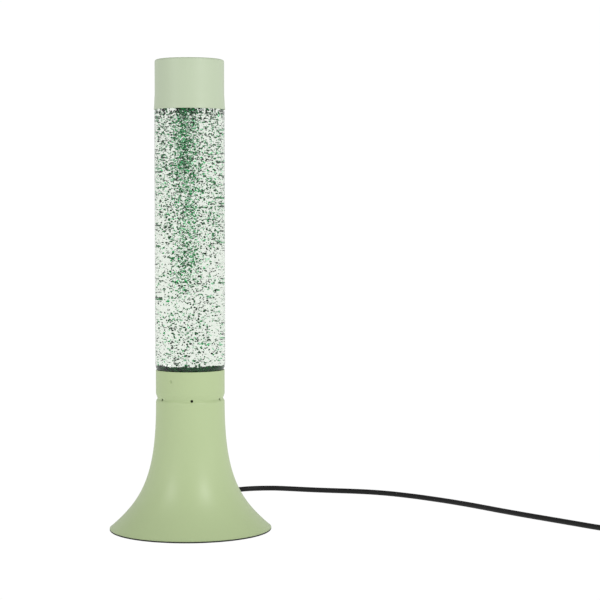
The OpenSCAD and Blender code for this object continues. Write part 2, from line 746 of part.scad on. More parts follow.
// Bulb
module bulb_glass() {
    neck = screw_r + 0.5;
    low = bulb_tip + 20.6;
    wide = bulb_top - 14;
    sphere_r = 24;
    crown = asin((bulb_r - 1.5) / sphere_r);
    outer = concat(
        [[neck, low], [neck, low + 4], [neck + 1.6, low + 9]],
        arc_points([bulb_r - 13, wide], 13, -50, 0, 6),
        arc_points([bulb_r - 3, wide + 3], 3, 0, 50, 3),
        [for (i = [0:6]) let (a = crown * (1 - i / 6)) [sphere_r * sin(a), bulb_top - sphere_r * (1 - cos(a))]]);
    thin = 0.8;
    inner = concat(
        [[neck - thin, low + thin], [neck - thin, low + 4.2], [neck + 0.9, low + 9.2]],
        arc_points([bulb_r - 13, wide], 13 - thin, -50, 0, 6),
        arc_points([bulb_r - 3, wide + 3], 3 - thin, 0, 50, 3),
        [for (i = [0:6]) let (a = crown * (1 - i / 6))
            [(sphere_r - thin) * sin(a), bulb_top - sphere_r + (sphere_r - thin) * cos(a)]]);
    color("whitesmoke") difference() {
        spin(concat([[0, low]], outer));
        spin(concat([[0, low + thin]], inner));
    }
}

module bulb_cap() {
    low = bulb_tip + 3.6;
    color("silver") spin([
        [screw_r - 0.5, low], [screw_r, low + 0.5], [screw_r, bulb_tip + 18.6], [screw_r + 0.4, bulb_tip + 20.5],
        [screw_r - 0.4, bulb_tip + 20.5], [screw_r - 0.6, bulb_tip + 18], [screw_r - 0.6, low + 1], [3.4, low + 1],
        [3.4, low]]);
}

module bulb_insulator() {
    color("black") spin([[1.6, bulb_tip + 1.4], [2.6, bulb_tip + 1.4], [screw_r - 1, bulb_tip + 3.55], [1.6, bulb_tip + 3.55]]);
}

module bulb_tip_contact() {
    color("silver") spin([[0, bulb_tip], [1.6, bulb_tip], [2.3, bulb_tip + 0.6], [2.3, bulb_tip + 1.35], [1.5, bulb_tip + 1.35],
        [1.5, bulb_tip + 4.2], [0, bulb_tip + 4.2]]);
}

module bulb_stem() {
    low = bulb_tip + 21.5;
    color("whitesmoke") spin([[0, low], [4.5, low], [2.2, low + 5], [1.4, low + 14], [0, low + 14.4]]);
}

module bulb_filament() {
    low = bulb_tip + 37;
    high = bulb_tip + 47;
    wire = 0.3;
    color("gray") union() {
        for (s = [-1, 1]) translate([s * 6, 0, low]) cylinder(r = wire, h = high - low);
        rod_x(wire, -6, 6, 0, low);
        rod_x(wire * 1.6, -6, 6, 0, high);
        rod_x(wire * 2, -1, 1, 0, low);
        translate([0, 0, low - 1]) cylinder(r = 0.5, h = 1.2);
    }
}

// Bottle
module glass_bottle() {
    color("lightcyan") difference() {
        spin(concat([[0, seat_z]], glass_line(0, seat_z, mouth_z), [[0, mouth_z]]));
        spin(concat([[0, seat_z + 1.6 * glass_t]], glass_line(glass_t, seat_z + 1.6 * glass_t, mouth_z + 1),
            [[0, mouth_z + 1]]));
    }
}

module fluid() {
    gap = glass_t + slack;
    low = seat_z + 1.6 * glass_t + slack;
    color("palegreen") intersection() {
        spin(concat([[0, low]], glass_line(gap, low, mouth_z), [[0, mouth_z]]));
        cylinder(r = bottle_r, h = fill_z);
    }
}

// Flakes spread through the liquid by three even sequences
module glitter_flakes() {
    low = turn_z + 2;
    high = shoulder_z - 4;
    reach = bottle_r - glass_t - flake_r - 1;
    color("darkgreen") for (i = [1:flake_count]) {
        round_turn = 360 * (i * 0.7549 - floor(i * 0.7549));
        out = reach * sqrt(i * 0.5698 - floor(i * 0.5698));
        rise = i * 0.8192 - floor(i * 0.8192);
        translate([out * cos(round_turn), out * sin(round_turn), low + rise * (high - low)])
            rotate([70 * sin(137 * i), 70 * cos(61 * i), 40 * i]) cylinder(r = flake_r, h = flake_t, $fn = 6);
    }
}

module bottle_closure() {
    color("silver") spin([
        [mouth_r + running, mouth_z - closure_skirt], [closure_r, mouth_z - closure_skirt],
        [closure_r, closure_top - 0.6], [closure_r - 0.6, closure_top], [0, closure_top],
        [0, closure_top - closure_t], [mouth_r + running, closure_top - closure_t]]);
}

module closure_seal() {
    color("gainsboro") translate([0, 0, mouth_z + slack]) cylinder(r = mouth_r, h = seal_t - 2 * slack);
}

// Top cap
module top_cap() {
    inside = cap_r - cap_wall;
    color("darkseagreen") spin(concat(
        [[inside + hem_flare, hem_z], [cap_r + hem_flare - 0.2, hem_z]], hem_line(cap_r),
        arc_points([cap_r - cap_edge_r, cap_top_z - cap_edge_r], cap_edge_r, 0, 90, 6),
        [[0, cap_top_z], [0, cap_top_z - cap_wall]],
        arc_points([cap_r - cap_edge_r, cap_top_z - cap_edge_r], cap_edge_r - cap_wall, 90, 0, 4),
        backwards(hem_line(inside))));
}

module cap_insert() {
    bore = closure_r + 0.5;
    low = closure_top - insert_h + 2;
    color("white") spin([
        [bore - 6, closure_top], [bore, closure_top], [bore, low], [bore + 1.4, low], [bore + 1.4, closure_top],
        [insert_r - 1.4, closure_top], [insert_r - 1.4, low], [insert_r, low],
        [insert_r, closure_top + insert_t], [bore - 6, closure_top + insert_t]]);
}

base_shell();
foot_ring();
cover_posts();
bottom_cover();
cover_screws();
seat_ring();
holder_bracket();
bracket_screws();
holder_nipple();
nipple_nut();
lampholder_body();
holder_sleeve();
holder_centre_contact();
cord_gland();
cord_clamp();
clamp_screws();
terminal_block();
terminal_inserts();
terminal_screws();
lead_live();
lead_neutral();
cord_cores();
inner_cord();
cord_run();
cord_to_coil();
cord_coil();
cord_to_plug();
cord_tie();
plug_body();
plug_pins();
pin_sleeves();
switch_base();
switch_cover();
rocker_pin();
switch_terminals();
switch_terminal_screws();
switch_screws();
switch_rocker();
rocker_contact();
bulb_glass();
bulb_cap();
bulb_insulator();
bulb_tip_contact();
bulb_stem();
bulb_filament();
glass_bottle();
fluid();
glitter_flakes();
bottle_closure();
closure_seal();
top_cap();
cap_insert();
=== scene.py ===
"""Liquid and glitter lamp: the visual model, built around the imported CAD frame.

The CAD frame gives every place and size. This script builds the visible surfaces on it: the powder-coated
shells, the glass, the liquid and its flakes, the mains lead with its switch and plug, and the studio that
they are shown in. Outlines are written in millimetres and become metres when a mesh is made.
"""

import logging
import math
import random
from collections.abc import Callable, Iterable, Sequence
from dataclasses import dataclass, field
from enum import Enum

import bmesh
import bpy
from mathutils import Matrix, Vector


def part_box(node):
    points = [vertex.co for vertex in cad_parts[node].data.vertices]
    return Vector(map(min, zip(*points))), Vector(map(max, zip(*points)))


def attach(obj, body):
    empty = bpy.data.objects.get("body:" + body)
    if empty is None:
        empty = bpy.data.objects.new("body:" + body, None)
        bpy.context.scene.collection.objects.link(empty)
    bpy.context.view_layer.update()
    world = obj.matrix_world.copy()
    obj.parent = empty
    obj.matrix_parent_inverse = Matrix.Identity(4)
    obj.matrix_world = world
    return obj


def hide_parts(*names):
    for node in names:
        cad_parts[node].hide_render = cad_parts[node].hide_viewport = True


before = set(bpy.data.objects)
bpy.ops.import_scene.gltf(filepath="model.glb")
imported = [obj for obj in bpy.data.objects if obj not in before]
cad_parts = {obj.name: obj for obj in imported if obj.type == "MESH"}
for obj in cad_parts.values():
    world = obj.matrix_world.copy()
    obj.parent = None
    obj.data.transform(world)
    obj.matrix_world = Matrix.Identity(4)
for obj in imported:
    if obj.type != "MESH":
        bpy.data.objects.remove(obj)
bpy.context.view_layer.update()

LOG = logging.getLogger("lamp")
MM = 0.001
Point2 = tuple[float, float]
Point3 = tuple[float, float, float]


class Body(Enum):
    """The bodies of the CAD frame that pieces ride on."""

    BASE = "base"
    ROCKER = "rocker"
    BULB = "bulb"
    BOTTLE = "bottle"
    CAP = "top_cap"


# ---------------------------------------------------------------------------------------------- finishes


def linear(hex_code: str) -> tuple[float, float, float, float]:
    """Turns an sRGB colour into the linear colour that shaders use.

    Args:
        hex_code: The colour as "#RRGGBB".

    Returns:
        Linear red, green and blue, with an alpha of 1.
    """
    parts = [int(hex_code[i : i + 2], 16) / 255 for i in (1, 3, 5)]
    red, green, blue = (p / 12.92 if p <= 0.04045 else ((p + 0.055) / 1.055) ** 2.4 for p in parts)
    return red, green, blue, 1.0


def add_node(
    tree: bpy.types.NodeTree, kind: str, settings: dict | None = None, links: dict | None = None
) -> bpy.types.Node:
    """Adds one shader node with its settings and links.

    Args:
        tree: The node tree that the node joins.
        kind: The node's Blender type name.
        settings: Values by name, for the node's own properties or its input sockets.
        links: Output sockets by the name of the input that each one feeds.

    Returns:
        The new node.
    """
    node = tree.nodes.new(kind)
    for name, value in (settings or {}).items():
        if isinstance(name, str) and hasattr(node, name):
            setattr(node, name, value)
        else:
            node.inputs[name].default_value = value
    for name, socket in (links or {}).items():
        tree.links.new(socket, node.inputs[name])
    return node


class Grain(Enum):
    """The kinds of fine surface pattern, and what each does to the sample space."""

    SPECKLE = (1.0, 1.0, 1.0)
    TURNED = (0.12, 0.12, 1.0)
    BRUSHED = (1.0, 0.06, 1.0)


@dataclass(frozen=True)
class Look:
    """What every finish shares: a name, and a material that is built once."""

    name: str

    def make(self) -> bpy.types.Material:
        """Builds the material.

        Returns:
            The material, which is built once and then shared by its name.
        """
        material = bpy.data.materials.get(self.name)
        if material is None:
            material = bpy.data.materials.new(self.name)
            material.use_nodes = True
            tree = material.node_tree
            tree.nodes.clear()
            add_node(tree, "ShaderNodeOutputMaterial", None, {"Surface": self.surface(tree)})
        return material

    def surface(self, tree: bpy.types.NodeTree) -> bpy.types.NodeSocket:
        """Adds the finish's own nodes, which each kind of finish does in its own way.

        Args:
            tree: The material's node tree.

        Returns:
            The surface's socket.
        """
        raise NotImplementedError


@dataclass(frozen=True)
class Finish(Look):
    """An opaque surface: a real material and how its surface was made."""

    colour: str
    roughness: float
    ior: float = 1.5
    metallic: float = 0.0
    grain: Grain = Grain.SPECKLE
    grain_mm: float = 1.0
    bump_mm: float = 0.0
    shade_spread: float = 0.06
    shade_mm: float = 12.0
    rough_spread: float = 0.08

    def surface(self, tree: bpy.types.NodeTree) -> bpy.types.NodeSocket:
        """Adds a plain shader whose colour, gloss and relief vary a little.

        Args:
            tree: The material's node tree.

        Returns:
            The surface's socket.
        """
        place = add_node(tree, "ShaderNodeTexCoord").outputs["Object"]
        fine = self.noise(tree, place, self.grain_mm, self.grain.value)
        broad = self.noise(tree, place, self.shade_mm, Grain.SPECKLE.value)
        dark, light = (self.shaded(s) for s in (1 - self.shade_spread, 1 + self.shade_spread))
        mix = add_node(
            tree,
            "ShaderNodeMix",
            {"data_type": "RGBA", 6: dark, 7: light},
            {0: broad},
        )
        rough = add_node(
            tree,
            "ShaderNodeMapRange",
            {"To Min": max(0.02, self.roughness - self.rough_spread), "To Max": self.roughness + self.rough_spread},
            {"Value": fine},
        )
        links = {"Base Color": mix.outputs[2], "Roughness": rough.outputs["Result"]}
        if self.bump_mm:
            bump = add_node(
                tree, "ShaderNodeBump", {"Strength": 1.0, "Distance": self.bump_mm * MM}, {"Height": fine}
            )
            links["Normal"] = bump.outputs["Normal"]
        shader = add_node(
            tree,
            "ShaderNodeBsdfPrincipled",
            {"Metallic": self.metallic, "IOR": self.ior},
            links,
        )
        return shader.outputs["BSDF"]

    def shaded(self, share: float) -> tuple[float, float, float, float]:
        """The finish's linear colour, made lighter or darker by a share."""
        red, green, blue, alpha = linear(self.colour)
        return min(1.0, red * share), min(1.0, green * share), min(1.0, blue * share), alpha

    @staticmethod
    def noise(
        tree: bpy.types.NodeTree, place: bpy.types.NodeSocket, size_mm: float, squeeze: Point3
    ) -> bpy.types.NodeSocket:
        """A cloud pattern whose lumps are size_mm across, squeezed along each axis.

        Args:
            tree: The node tree that it joins.
            place: The coordinates in metres.
            size_mm: The width of one lump.
            squeeze: The share of that pattern's frequency along X, Y and Z.

        Returns:
            The pattern's value, from 0 to 1.
        """
        mapping = add_node(tree, "ShaderNodeMapping", {"Scale": squeeze}, {"Vector": place})
        pattern = add_node(
            tree,
            "ShaderNodeTexNoise",
            {"Scale": 1 / (size_mm * MM), "Detail": 2.0, "Roughness": 0.5},
            {"Vector": mapping.outputs["Vector"]},
        )
        return pattern.outputs[0]


@dataclass(frozen=True)
class ClearFinish(Look):
    """A see-through surface. Lamps reach what is behind it, as they do behind real glass."""

    colour: str
    ior: float

    def surface(self, tree: bpy.types.NodeTree) -> bpy.types.NodeSocket:
        """Adds a refracting shader that casts no shadow.

        Args:
            tree: The material's node tree.

        Returns:
            The surface's socket.
        """
        body = add_node(
            tree,
            "ShaderNodeBsdfPrincipled",
            {"Base Color": linear(self.colour), "Roughness": 0.0, "IOR": self.ior, "Transmission Weight": 1.0},
        )
        through = add_node(tree, "ShaderNodeBsdfTransparent", {"Color": linear("#FFFFFF")})
        path = add_node(tree, "ShaderNodeLightPath")
        mix = add_node(
            tree,
            "ShaderNodeMixShader",
            None,
            {0: path.outputs["Is Shadow Ray"], 1: body.outputs["BSDF"], 2: through.outputs["BSDF"]},
        )
        return mix.outputs["Shader"]


@dataclass(frozen=True)
class StillLiquid(Look):
    """The liquid's wetted sides, which meet the glass with no air between and so show no edge of their own."""

    colour: str

    def surface(self, tree: bpy.types.NodeTree) -> bpy.types.NodeSocket:
        """Adds a shader that only tints what is seen through it."""
        return add_node(tree, "ShaderNodeBsdfTransparent", {"Color": linear(self.colour)}).outputs["BSDF"]


@dataclass(frozen=True)
class GlitterFilm(Look):
    """Metallised polyester film, lacquered on both faces: a tinted mirror, and each flake has its own tone."""

    dark: str
    light: str
    roughness: float = 0.3
    metallic: float = 0.25
    # The lacquer against the liquid, which hardly differ, so a flake keeps its colour even edge on
    ior: float = 1.1

    def surface(self, tree: bpy.types.NodeTree) -> bpy.types.NodeSocket:
        """Adds the film. The mesh's flake_tone attribute picks each flake's place between dark and light.

        Args:
            tree: The material's node tree.

        Returns:
            The surface's socket.
        """
        tone = add_node(tree, "ShaderNodeAttribute", {"attribute_name": "flake_tone"})
        mix = add_node(
            tree,
            "ShaderNodeMix",
            {"data_type": "RGBA", 6: linear(self.dark), 7: linear(self.light)},
            {0: tone.outputs["Fac"]},
        )
        shader = add_node(
            tree,
            "ShaderNodeBsdfPrincipled",
            {
                "Metallic": self.metallic,
                "Roughness": self.roughness,
                "IOR": self.ior,
                "Specular Tint": linear(self.light),
            },
            {"Base Color": mix.outputs[2]},
        )
        return shader.outputs["BSDF"]


@dataclass(frozen=True)
class GlowFinish(Look):
    """An even sheet of light."""

    colour: str
    strength: float
    # How bright it looks in glossy surfaces, since the room in front of a real sweep is dark
    mirrored: float = 0.72

    def surface(self, tree: bpy.types.NodeTree) -> bpy.types.NodeSocket:
        """Adds a light that is dimmer in reflections, but not where it is seen through glass.

        Args:
            tree: The material's node tree.

        Returns:
            The surface's socket.
        """
        path = add_node(tree, "ShaderNodeLightPath")
        bounced = add_node(
            tree,
            "ShaderNodeMath",
            {"operation": "SUBTRACT", "use_clamp": True},
            {0: path.outputs["Is Glossy Ray"], 1: path.outputs["Is Transmission Ray"]},
        )
        dim = add_node(
            tree,
            "ShaderNodeMapRange",
            {"To Min": self.strength, "To Max": self.strength * self.mirrored},
            {"Value": bounced.outputs[0]},
        )
        glow = add_node(
            tree, "ShaderNodeEmission", {"Color": linear(self.colour)}, {"Strength": dim.outputs["Result"]}
        )
        return glow.outputs["Emission"]


# Polyester powder baked on spun steel. The orange peel is really about 0.8 mm across, and is drawn at 1.6 mm so
# that it just breaks up the soft highlight. The cap has the base's coat, painted a touch paler and cooler than
# the base: painted light for the brighter light and white surroundings on the cap.
POWDER = {"grain_mm": 1.6, "bump_mm": 0.012, "shade_spread": 0.015, "shade_mm": 30}
BASE_COAT = Finish("sage_powder_coat", "#AEBF90", 0.38, **POWDER)
CAP_COAT = Finish("sage_powder_coat_painted_lighter", "#B4C1A6", 0.38, **POWDER)
# The shell's inside is bare: dull mill-finished steel with a trace of forming oil, darkened as painted shade so that
# the vents look black
BARE_STEEL_AND_SHADE = Finish("bare_steel_inside_and_painted_shade", "#4A4B49", 0.55, metallic=1.0, grain=Grain.TURNED, grain_mm=0.8, bump_mm=0.01)
# Moulded nitrile rubber: black, with a dusty bloom in soft patches
RUBBER = Finish("black_rubber", "#0D100C", 0.62, ior=1.52, grain_mm=0.9, bump_mm=0.02, shade_spread=0.3, shade_mm=6)
# Plasticised PVC over the cord, fresh from the extruder: smooth, with a long narrow gloss
CORD_PVC = Finish(
    "black_cord_pvc", "#050506", 0.46, ior=1.4, grain_mm=6, shade_spread=0.1, shade_mm=40, rough_spread=0.02
)
# The same PVC moulded with a spark-eroded texture, about 0.5 mm, drawn at 0.8 mm: an even soft sheen
MOULDED_PVC = Finish("black_moulded_pvc", "#19191B", 0.46, ior=1.53, grain_mm=0.8, bump_mm=0.03, shade_spread=0.12)
# ABS, moulded in a fine matt tool, so its highlights are broad and low
SWITCH_ABS = Finish("black_abs", "#161617", 0.42, ior=1.54, grain_mm=0.7, bump_mm=0.025, shade_spread=0.1)
# The rocker's tool is polished, so it stands out glossy against the matt housing
ROCKER_ABS = Finish("polished_black_abs", "#121213", 0.22, ior=1.54, grain_mm=1.2, bump_mm=0.004, shade_spread=0.08)
# Nylon strap, moulded black: a waxy half gloss
TIE_NYLON = Finish("black_nylon", "#131313", 0.38, ior=1.53, grain_mm=1.0, bump_mm=0.01, shade_spread=0.1)
# Polypropylene cover, moulded dark grey, with faint flow marks
COVER_PP = Finish("grey_polypropylene", "#3A3C3A", 0.48, ior=1.49, grain_mm=1.1, bump_mm=0.03, shade_spread=0.1)
# Zinc plate, passivated: a dull bluish grey with a fine rolled grain
ZINC = Finish("zinc_plate", "#B4B8BC", 0.34, metallic=1.0, grain=Grain.BRUSHED, grain_mm=0.5, bump_mm=0.004)
# Stamped brass, bright but slightly stained, so its tone wanders
BRASS = Finish("stamped_brass", "#C9A45A", 0.28, metallic=1.0, grain_mm=0.8, bump_mm=0.004, shade_spread=0.1)
# Nickel plate over turned brass: a warm near-mirror with faint rings
NICKEL = Finish("nickel_plate", "#C6C1B6", 0.16, metallic=1.0, grain=Grain.TURNED, grain_mm=0.3, bump_mm=0.002)
# Spun aluminium: cool, with fine rings that draw the highlight out
ALUMINIUM = Finish("spun_aluminium", "#C9CBCC", 0.27, metallic=1.0, grain=Grain.TURNED, grain_mm=0.3, bump_mm=0.004)
# A solder blob, frozen slightly rough
SOLDER = Finish("tin_solder", "#A9AAA9", 0.36, metallic=1.0, grain_mm=0.9, bump_mm=0.03, shade_spread=0.15)
# Drawn tungsten: dark and dull
TUNGSTEN = Finish("tungsten_wire", "#6C6964", 0.4, metallic=1.0, grain_mm=0.3, bump_mm=0.002)
# Glass-filled polyester for the lampholder, a satin ivory, and soft whites for the seat and the seal
HOLDER_PBT = Finish("ivory_polyester", "#DDD8C8", 0.42, ior=1.56, grain_mm=0.9, bump_mm=0.02, shade_spread=0.05)
SILICONE = Finish("white_silicone", "#DADAD4", 0.55, ior=1.41, grain_mm=1.0, bump_mm=0.01, shade_spread=0.04)
NYLON = Finish("natural_nylon", "#D9D6CB", 0.45, ior=1.53, grain_mm=0.8, bump_mm=0.015, shade_spread=0.05)
# Extruded PVC over each core: smooth and glossy, in the two mains colours
BROWN_CORE = Finish("brown_core_pvc", "#5B3319", 0.36, ior=1.53, grain_mm=1.2, bump_mm=0.006)
BLUE_CORE = Finish("blue_core_pvc", "#2A5FA8", 0.36, ior=1.53, grain_mm=1.2, bump_mm=0.006)
# Cast glass round the bulb's tip: black, with a wet shine
BLACK_GLASS = Finish("black_glass_insulator", "#0C0C0D", 0.12, ior=1.52, grain_mm=1.0, bump_mm=0.004)
# Etched bulb face, which glows softly, and the aluminium mirror inside its cone
FROSTED_FACE = Finish("frosted_bulb_face", "#DFE0DC", 0.5, ior=1.52, grain_mm=0.5, bump_mm=0.01, shade_spread=0.03)
MIRROR_CONE = Finish("mirrored_bulb_cone", "#D5D6D4", 0.1, metallic=1.0, grain_mm=4.0, bump_mm=0.01)
# Lamp-worked glass, pale and wavy
STEM_GLASS = Finish("pressed_stem_glass", "#CFD6D4", 0.12, ior=1.52, grain_mm=2.0, bump_mm=0.01)
# Soda-lime bottle glass, and the same glass where liquid wets it: light bends by the ratio of the two
GLASS_IOR = 1.52
LIQUID_IOR = 1.36
BOTTLE_GLASS = ClearFinish("soda_lime_glass", "#FFFFFF", GLASS_IOR)
WETTED_GLASS = ClearFinish("wetted_soda_lime_glass", "#FDFEFC", GLASS_IOR / LIQUID_IOR)
LIQUID_TOP = ClearFinish("clear_liquid", "#FEFFFD", LIQUID_IOR)
LIQUID_SIDE = StillLiquid("clear_liquid_at_glass", "#F5F8F4")
# Glitter: one green film in three painted tones of light. Most flakes are deep green as painted shade, some
# are painted lighter green where they catch the light, and a few are pale mint as painted highlights
SHADED_FLAKE = GlitterFilm("green_glitter_painted_shade", "#011A0A", "#0D5F2F")
GREEN_FLAKE = GlitterFilm("green_glitter", "#0A7538", "#3BC475")
HIGHLIGHT_FLAKE = GlitterFilm("green_glitter_painted_highlight", "#86DDAA", "#CDF5DC", roughness=0.4)
# The settled bank is the same green film, darkened as painted shade on the side of the heap
SETTLED_FLAKE = GlitterFilm("settled_glitter_painted_shade", "#04200D", "#1E5A2C")
# The studio's sweep: opal acrylic, lit evenly from behind, so it is white with no shadow on it
LIT_SWEEP = GlowFinish("lit_white_sweep", "#FFFFFF", 1.02)


# ------------------------------------------------------------------------------------------ mesh helpers

LOW, HIGH = 0, 1


def from_cad(node: str, end: int, axis: str = "z") -> float:
    """A field that reads where a CAD node ends, in millimetres, when its class is used.

    Args:
        node: The CAD node's name.
        end: LOW or HIGH.
        axis: The axis along which it is measured.

    Returns:
        The field.
    """
    return field(default_factory=lambda: getattr(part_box(node)[end], axis) / MM)


def rounded(corners: Sequence[tuple[float, ...]], closed: bool = True) -> list[Point2]:
    """Rounds an outline's corners with arcs.

    Args:
        corners: Points as (across, up) or (across, up, radius), in millimetres.
        closed: Whether the last point joins the first.

    Returns:
        The outline's points.
    """
    count = len(corners)
    points: list[Point2] = []
    for i, corner in enumerate(corners):
        here = Vector(corner[:2])
        radius = corner[2] if len(corner) > 2 else 0.0
        if radius <= 0 or (not closed and i in (0, count - 1)):
            points.append((here.x, here.y))
            continue
        back = (Vector(corners[i - 1][:2]) - here).normalized()
        ahead = (Vector(corners[(i + 1) % count][:2]) - here).normalized()
        half = back.angle(ahead) / 2
        if half > math.radians(89):
            points.append((here.x, here.y))
            continue
        reach = radius / math.tan(half)
        centre = here + (back + ahead).normalized() * (radius / math.sin(half))
        start, end = here + back * reach - centre, here + ahead * reach - centre
        sweep = start.angle_signed(end)
        steps = max(2, round(abs(sweep) / math.radians(12)))
        for k in range(steps + 1):
            turn = Matrix.Rotation(-sweep * k / steps, 2)
            spot = centre + turn @ start
            points.append((spot.x, spot.y))
    return points


def mesh_piece(
    name: str,
    vertices: Iterable[Sequence[float]],
    faces: Iterable[Sequence[int]],
    finish: Look,
    sharp: float = 35.0,
) -> bpy.types.Object:
    """Makes a mesh object from points in millimetres.

    Args:
        name: The piece's name.
        vertices: The points.
        faces: The faces, as lists of point numbers.
        finish: The finish that covers it.
        sharp: Edges that turn by more than this many degrees stay sharp.

    Returns:
        The new object.
    """
    mesh = bpy.data.meshes.new(name)
    mesh.from_pydata([[c * MM for c in v] for v in vertices], [], [list(f) for f in faces])
    mesh.validate()
    piece = bpy.data.objects.new(name, mesh)
    bpy.context.scene.collection.objects.link(piece)
    mesh.materials.append(finish.make())
    tidy(piece, sharp)
    return piece


def tidy(piece: bpy.types.Object, sharp: float = 35.0) -> None:
    """Turns a piece's faces outwards and shades it smooth, with its real edges kept sharp.

    Args:
        piece: The piece.
        sharp: Edges that turn by more than this many degrees stay sharp.
    """
    work = bmesh.new()
    work.from_mesh(piece.data)
    bmesh.ops.recalc_face_normals(work, faces=work.faces[:])
    work.to_mesh(piece.data)
    work.free()
    piece.data.shade_smooth()
    piece.data.set_sharp_from_angle(angle=math.radians(sharp))


def lathe(
    name: str,
    outline: Sequence[Point2],
    finish: Look,
    segments: int = 160,
    sharp: float = 35.0,
    shift: Callable[[float, float, float], Point3] | None = None,
) -> bpy.types.Object:
    """Turns a closed outline round the Z axis.

    Args:
        name: The piece's name.
        outline: Points as (radius, height) in millimetres. Points on the axis become one pole.
        finish: The finish that covers it.
        segments: How many steps there are in a turn.
        sharp: Edges that turn by more than this many degrees stay sharp.
        shift: Moves each point, given its radius, height and angle, such as for a thread or a dimple.

    Returns:
        The turned object.
    """
    vertices: list[Point3] = []
    rings: list[list[int]] = []
    for radius, height in outline:
        if radius < 1e-6:
            rings.append([len(vertices)] * segments)
            vertices.append((0.0, 0.0, height))
            continue
        rings.append(list(range(len(vertices), len(vertices) + segments)))
        for k in range(segments):
            angle = math.tau * k / segments
            r, z, a = shift(radius, height, angle) if shift else (radius, height, angle)
            vertices.append((r * math.cos(a), r * math.sin(a), z))
    faces = []
    for low, high in zip(rings, rings[1:] + rings[:1]):
        for k in range(segments):
            n = (k + 1) % segments
            corners = list(dict.fromkeys((low[k], low[n], high[n], high[k])))
            if len(corners) > 2:
                faces.append(corners)
    return mesh_piece(name, vertices, faces, finish, sharp)


def loft(
    name: str, sections: Sequence[Sequence[Point3]], finish: Finish, sharp: float = 35.0
) -> bpy.types.Object:
    """Joins sections of equal count into a closed skin, with a flat face at each end.

    Args:
        name: The piece's name.
        sections: Rings of points in millimetres.
        finish: The finish that covers it.
        sharp: Edges that turn by more than this many degrees stay sharp.

    Returns:
        The lofted object.
    """
    count = len(sections[0])
    vertices = [p for ring in sections for p in ring]
    faces = [list(range(count)), list(range((len(sections) - 1) * count, len(sections) * count))]
    for i in range(len(sections) - 1):
        for k in range(count):
            n = (k + 1) % count
            faces.append([i * count + k, i * count + n, (i + 1) * count + n, (i + 1) * count + k])
    return mesh_piece(name, vertices, faces, finish, sharp)


def round_box(half_x: float, half_y: float, corner: float, steps: int = 6) -> list[Point2]:
    """The outline of a rounded rectangle, the same number of points at each corner.

    Args:
        half_x: Half its width.
        half_y: Half its depth.
        corner: The radius of its corners.
        steps: How many steps each corner has.

    Returns:
        Its points, anticlockwise from the right.
    """
    corner = min(corner, half_x - 0.01, half_y - 0.01)
    points = []
    for quarter, (sx, sy) in enumerate(((1, 1), (-1, 1), (-1, -1), (1, -1))):
        for k in range(steps + 1):
            a = math.radians(90 * (quarter + k / steps))
            x, y = corner * math.cos(a), corner * math.sin(a)
            points.append((sx * (half_x - corner) + x, sy * (half_y - corner) + y))
    return points


def rod(radius: float, start: float, end: float, steps: int = 40) -> bpy.types.Object:
    """A round cutter that stands on Z, from one height to another."""
    return lathe("rod", [(0, start), (radius, start), (radius, end), (0, end)], SWITCH_ABS, steps)


def cut(piece: bpy.types.Object, tools: Sequence[bpy.types.Object], operation: str = "DIFFERENCE") -> None:
    """Applies a boolean with each tool in turn, and removes the tools.

    Args:
        piece: The object that is changed.
        tools: The objects to cut away or add.
        operation: Blender's name for the boolean.
    """
    for tool in tools:
        modifier = piece.modifiers.new("cut", "BOOLEAN")
        modifier.operation = operation
        modifier.solver = "EXACT"
        modifier.object = tool
        depsgraph = bpy.context.evaluated_depsgraph_get()
        made = bpy.data.meshes.new_from_object(piece.evaluated_get(depsgraph))
        piece.modifiers.clear()
        piece.data = made
        bpy.data.objects.remove(tool)


def place(
    piece: bpy.types.Object, body: Body, slot: str, replaces: Sequence[str] = ()
) -> bpy.types.Object:
    """Puts a finished piece on its body and says what it stands for.

    Args:
        piece: The piece, already where the row frame has it.
        body: The body that it rides on.
        slot: The name of the material slot that the piece stands in. It is not used.
        replaces: The CAD nodes that it stands for.

    Returns:
        The same piece.
    """
    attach(piece, body.value)
    if replaces:
        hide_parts(*replaces)
    size = len(piece.data.polygons) if piece.type == "MESH" else len(piece.data.splines[0].points)
    LOG.info("%s rides on %s, %d faces or points, for %s", piece.name, body.value, size, ", ".join(replaces))
    return piece


def dress(node: str, *finishes: Finish) -> None:
    """Gives a CAD node that stays in view its real finish.

    Args:
        node: The CAD node's name.
        finishes: One finish for each of the node's material slots, or one for them all.
    """
    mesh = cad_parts[node].data
    for i in range(len(mesh.materials)):
        mesh.materials[i] = finishes[min(i, len(finishes) - 1)].make()
    LOG.info("%s keeps its CAD shape, in %s", node, finishes[0].name)


def move(piece: bpy.types.Object, matrix: Matrix) -> bpy.types.Object:
    """Moves a new piece's mesh by a matrix whose shift is in metres."""
    piece.data.transform(matrix)
    return piece


# --------------------------------------------------------------------------------------- sub-assemblies


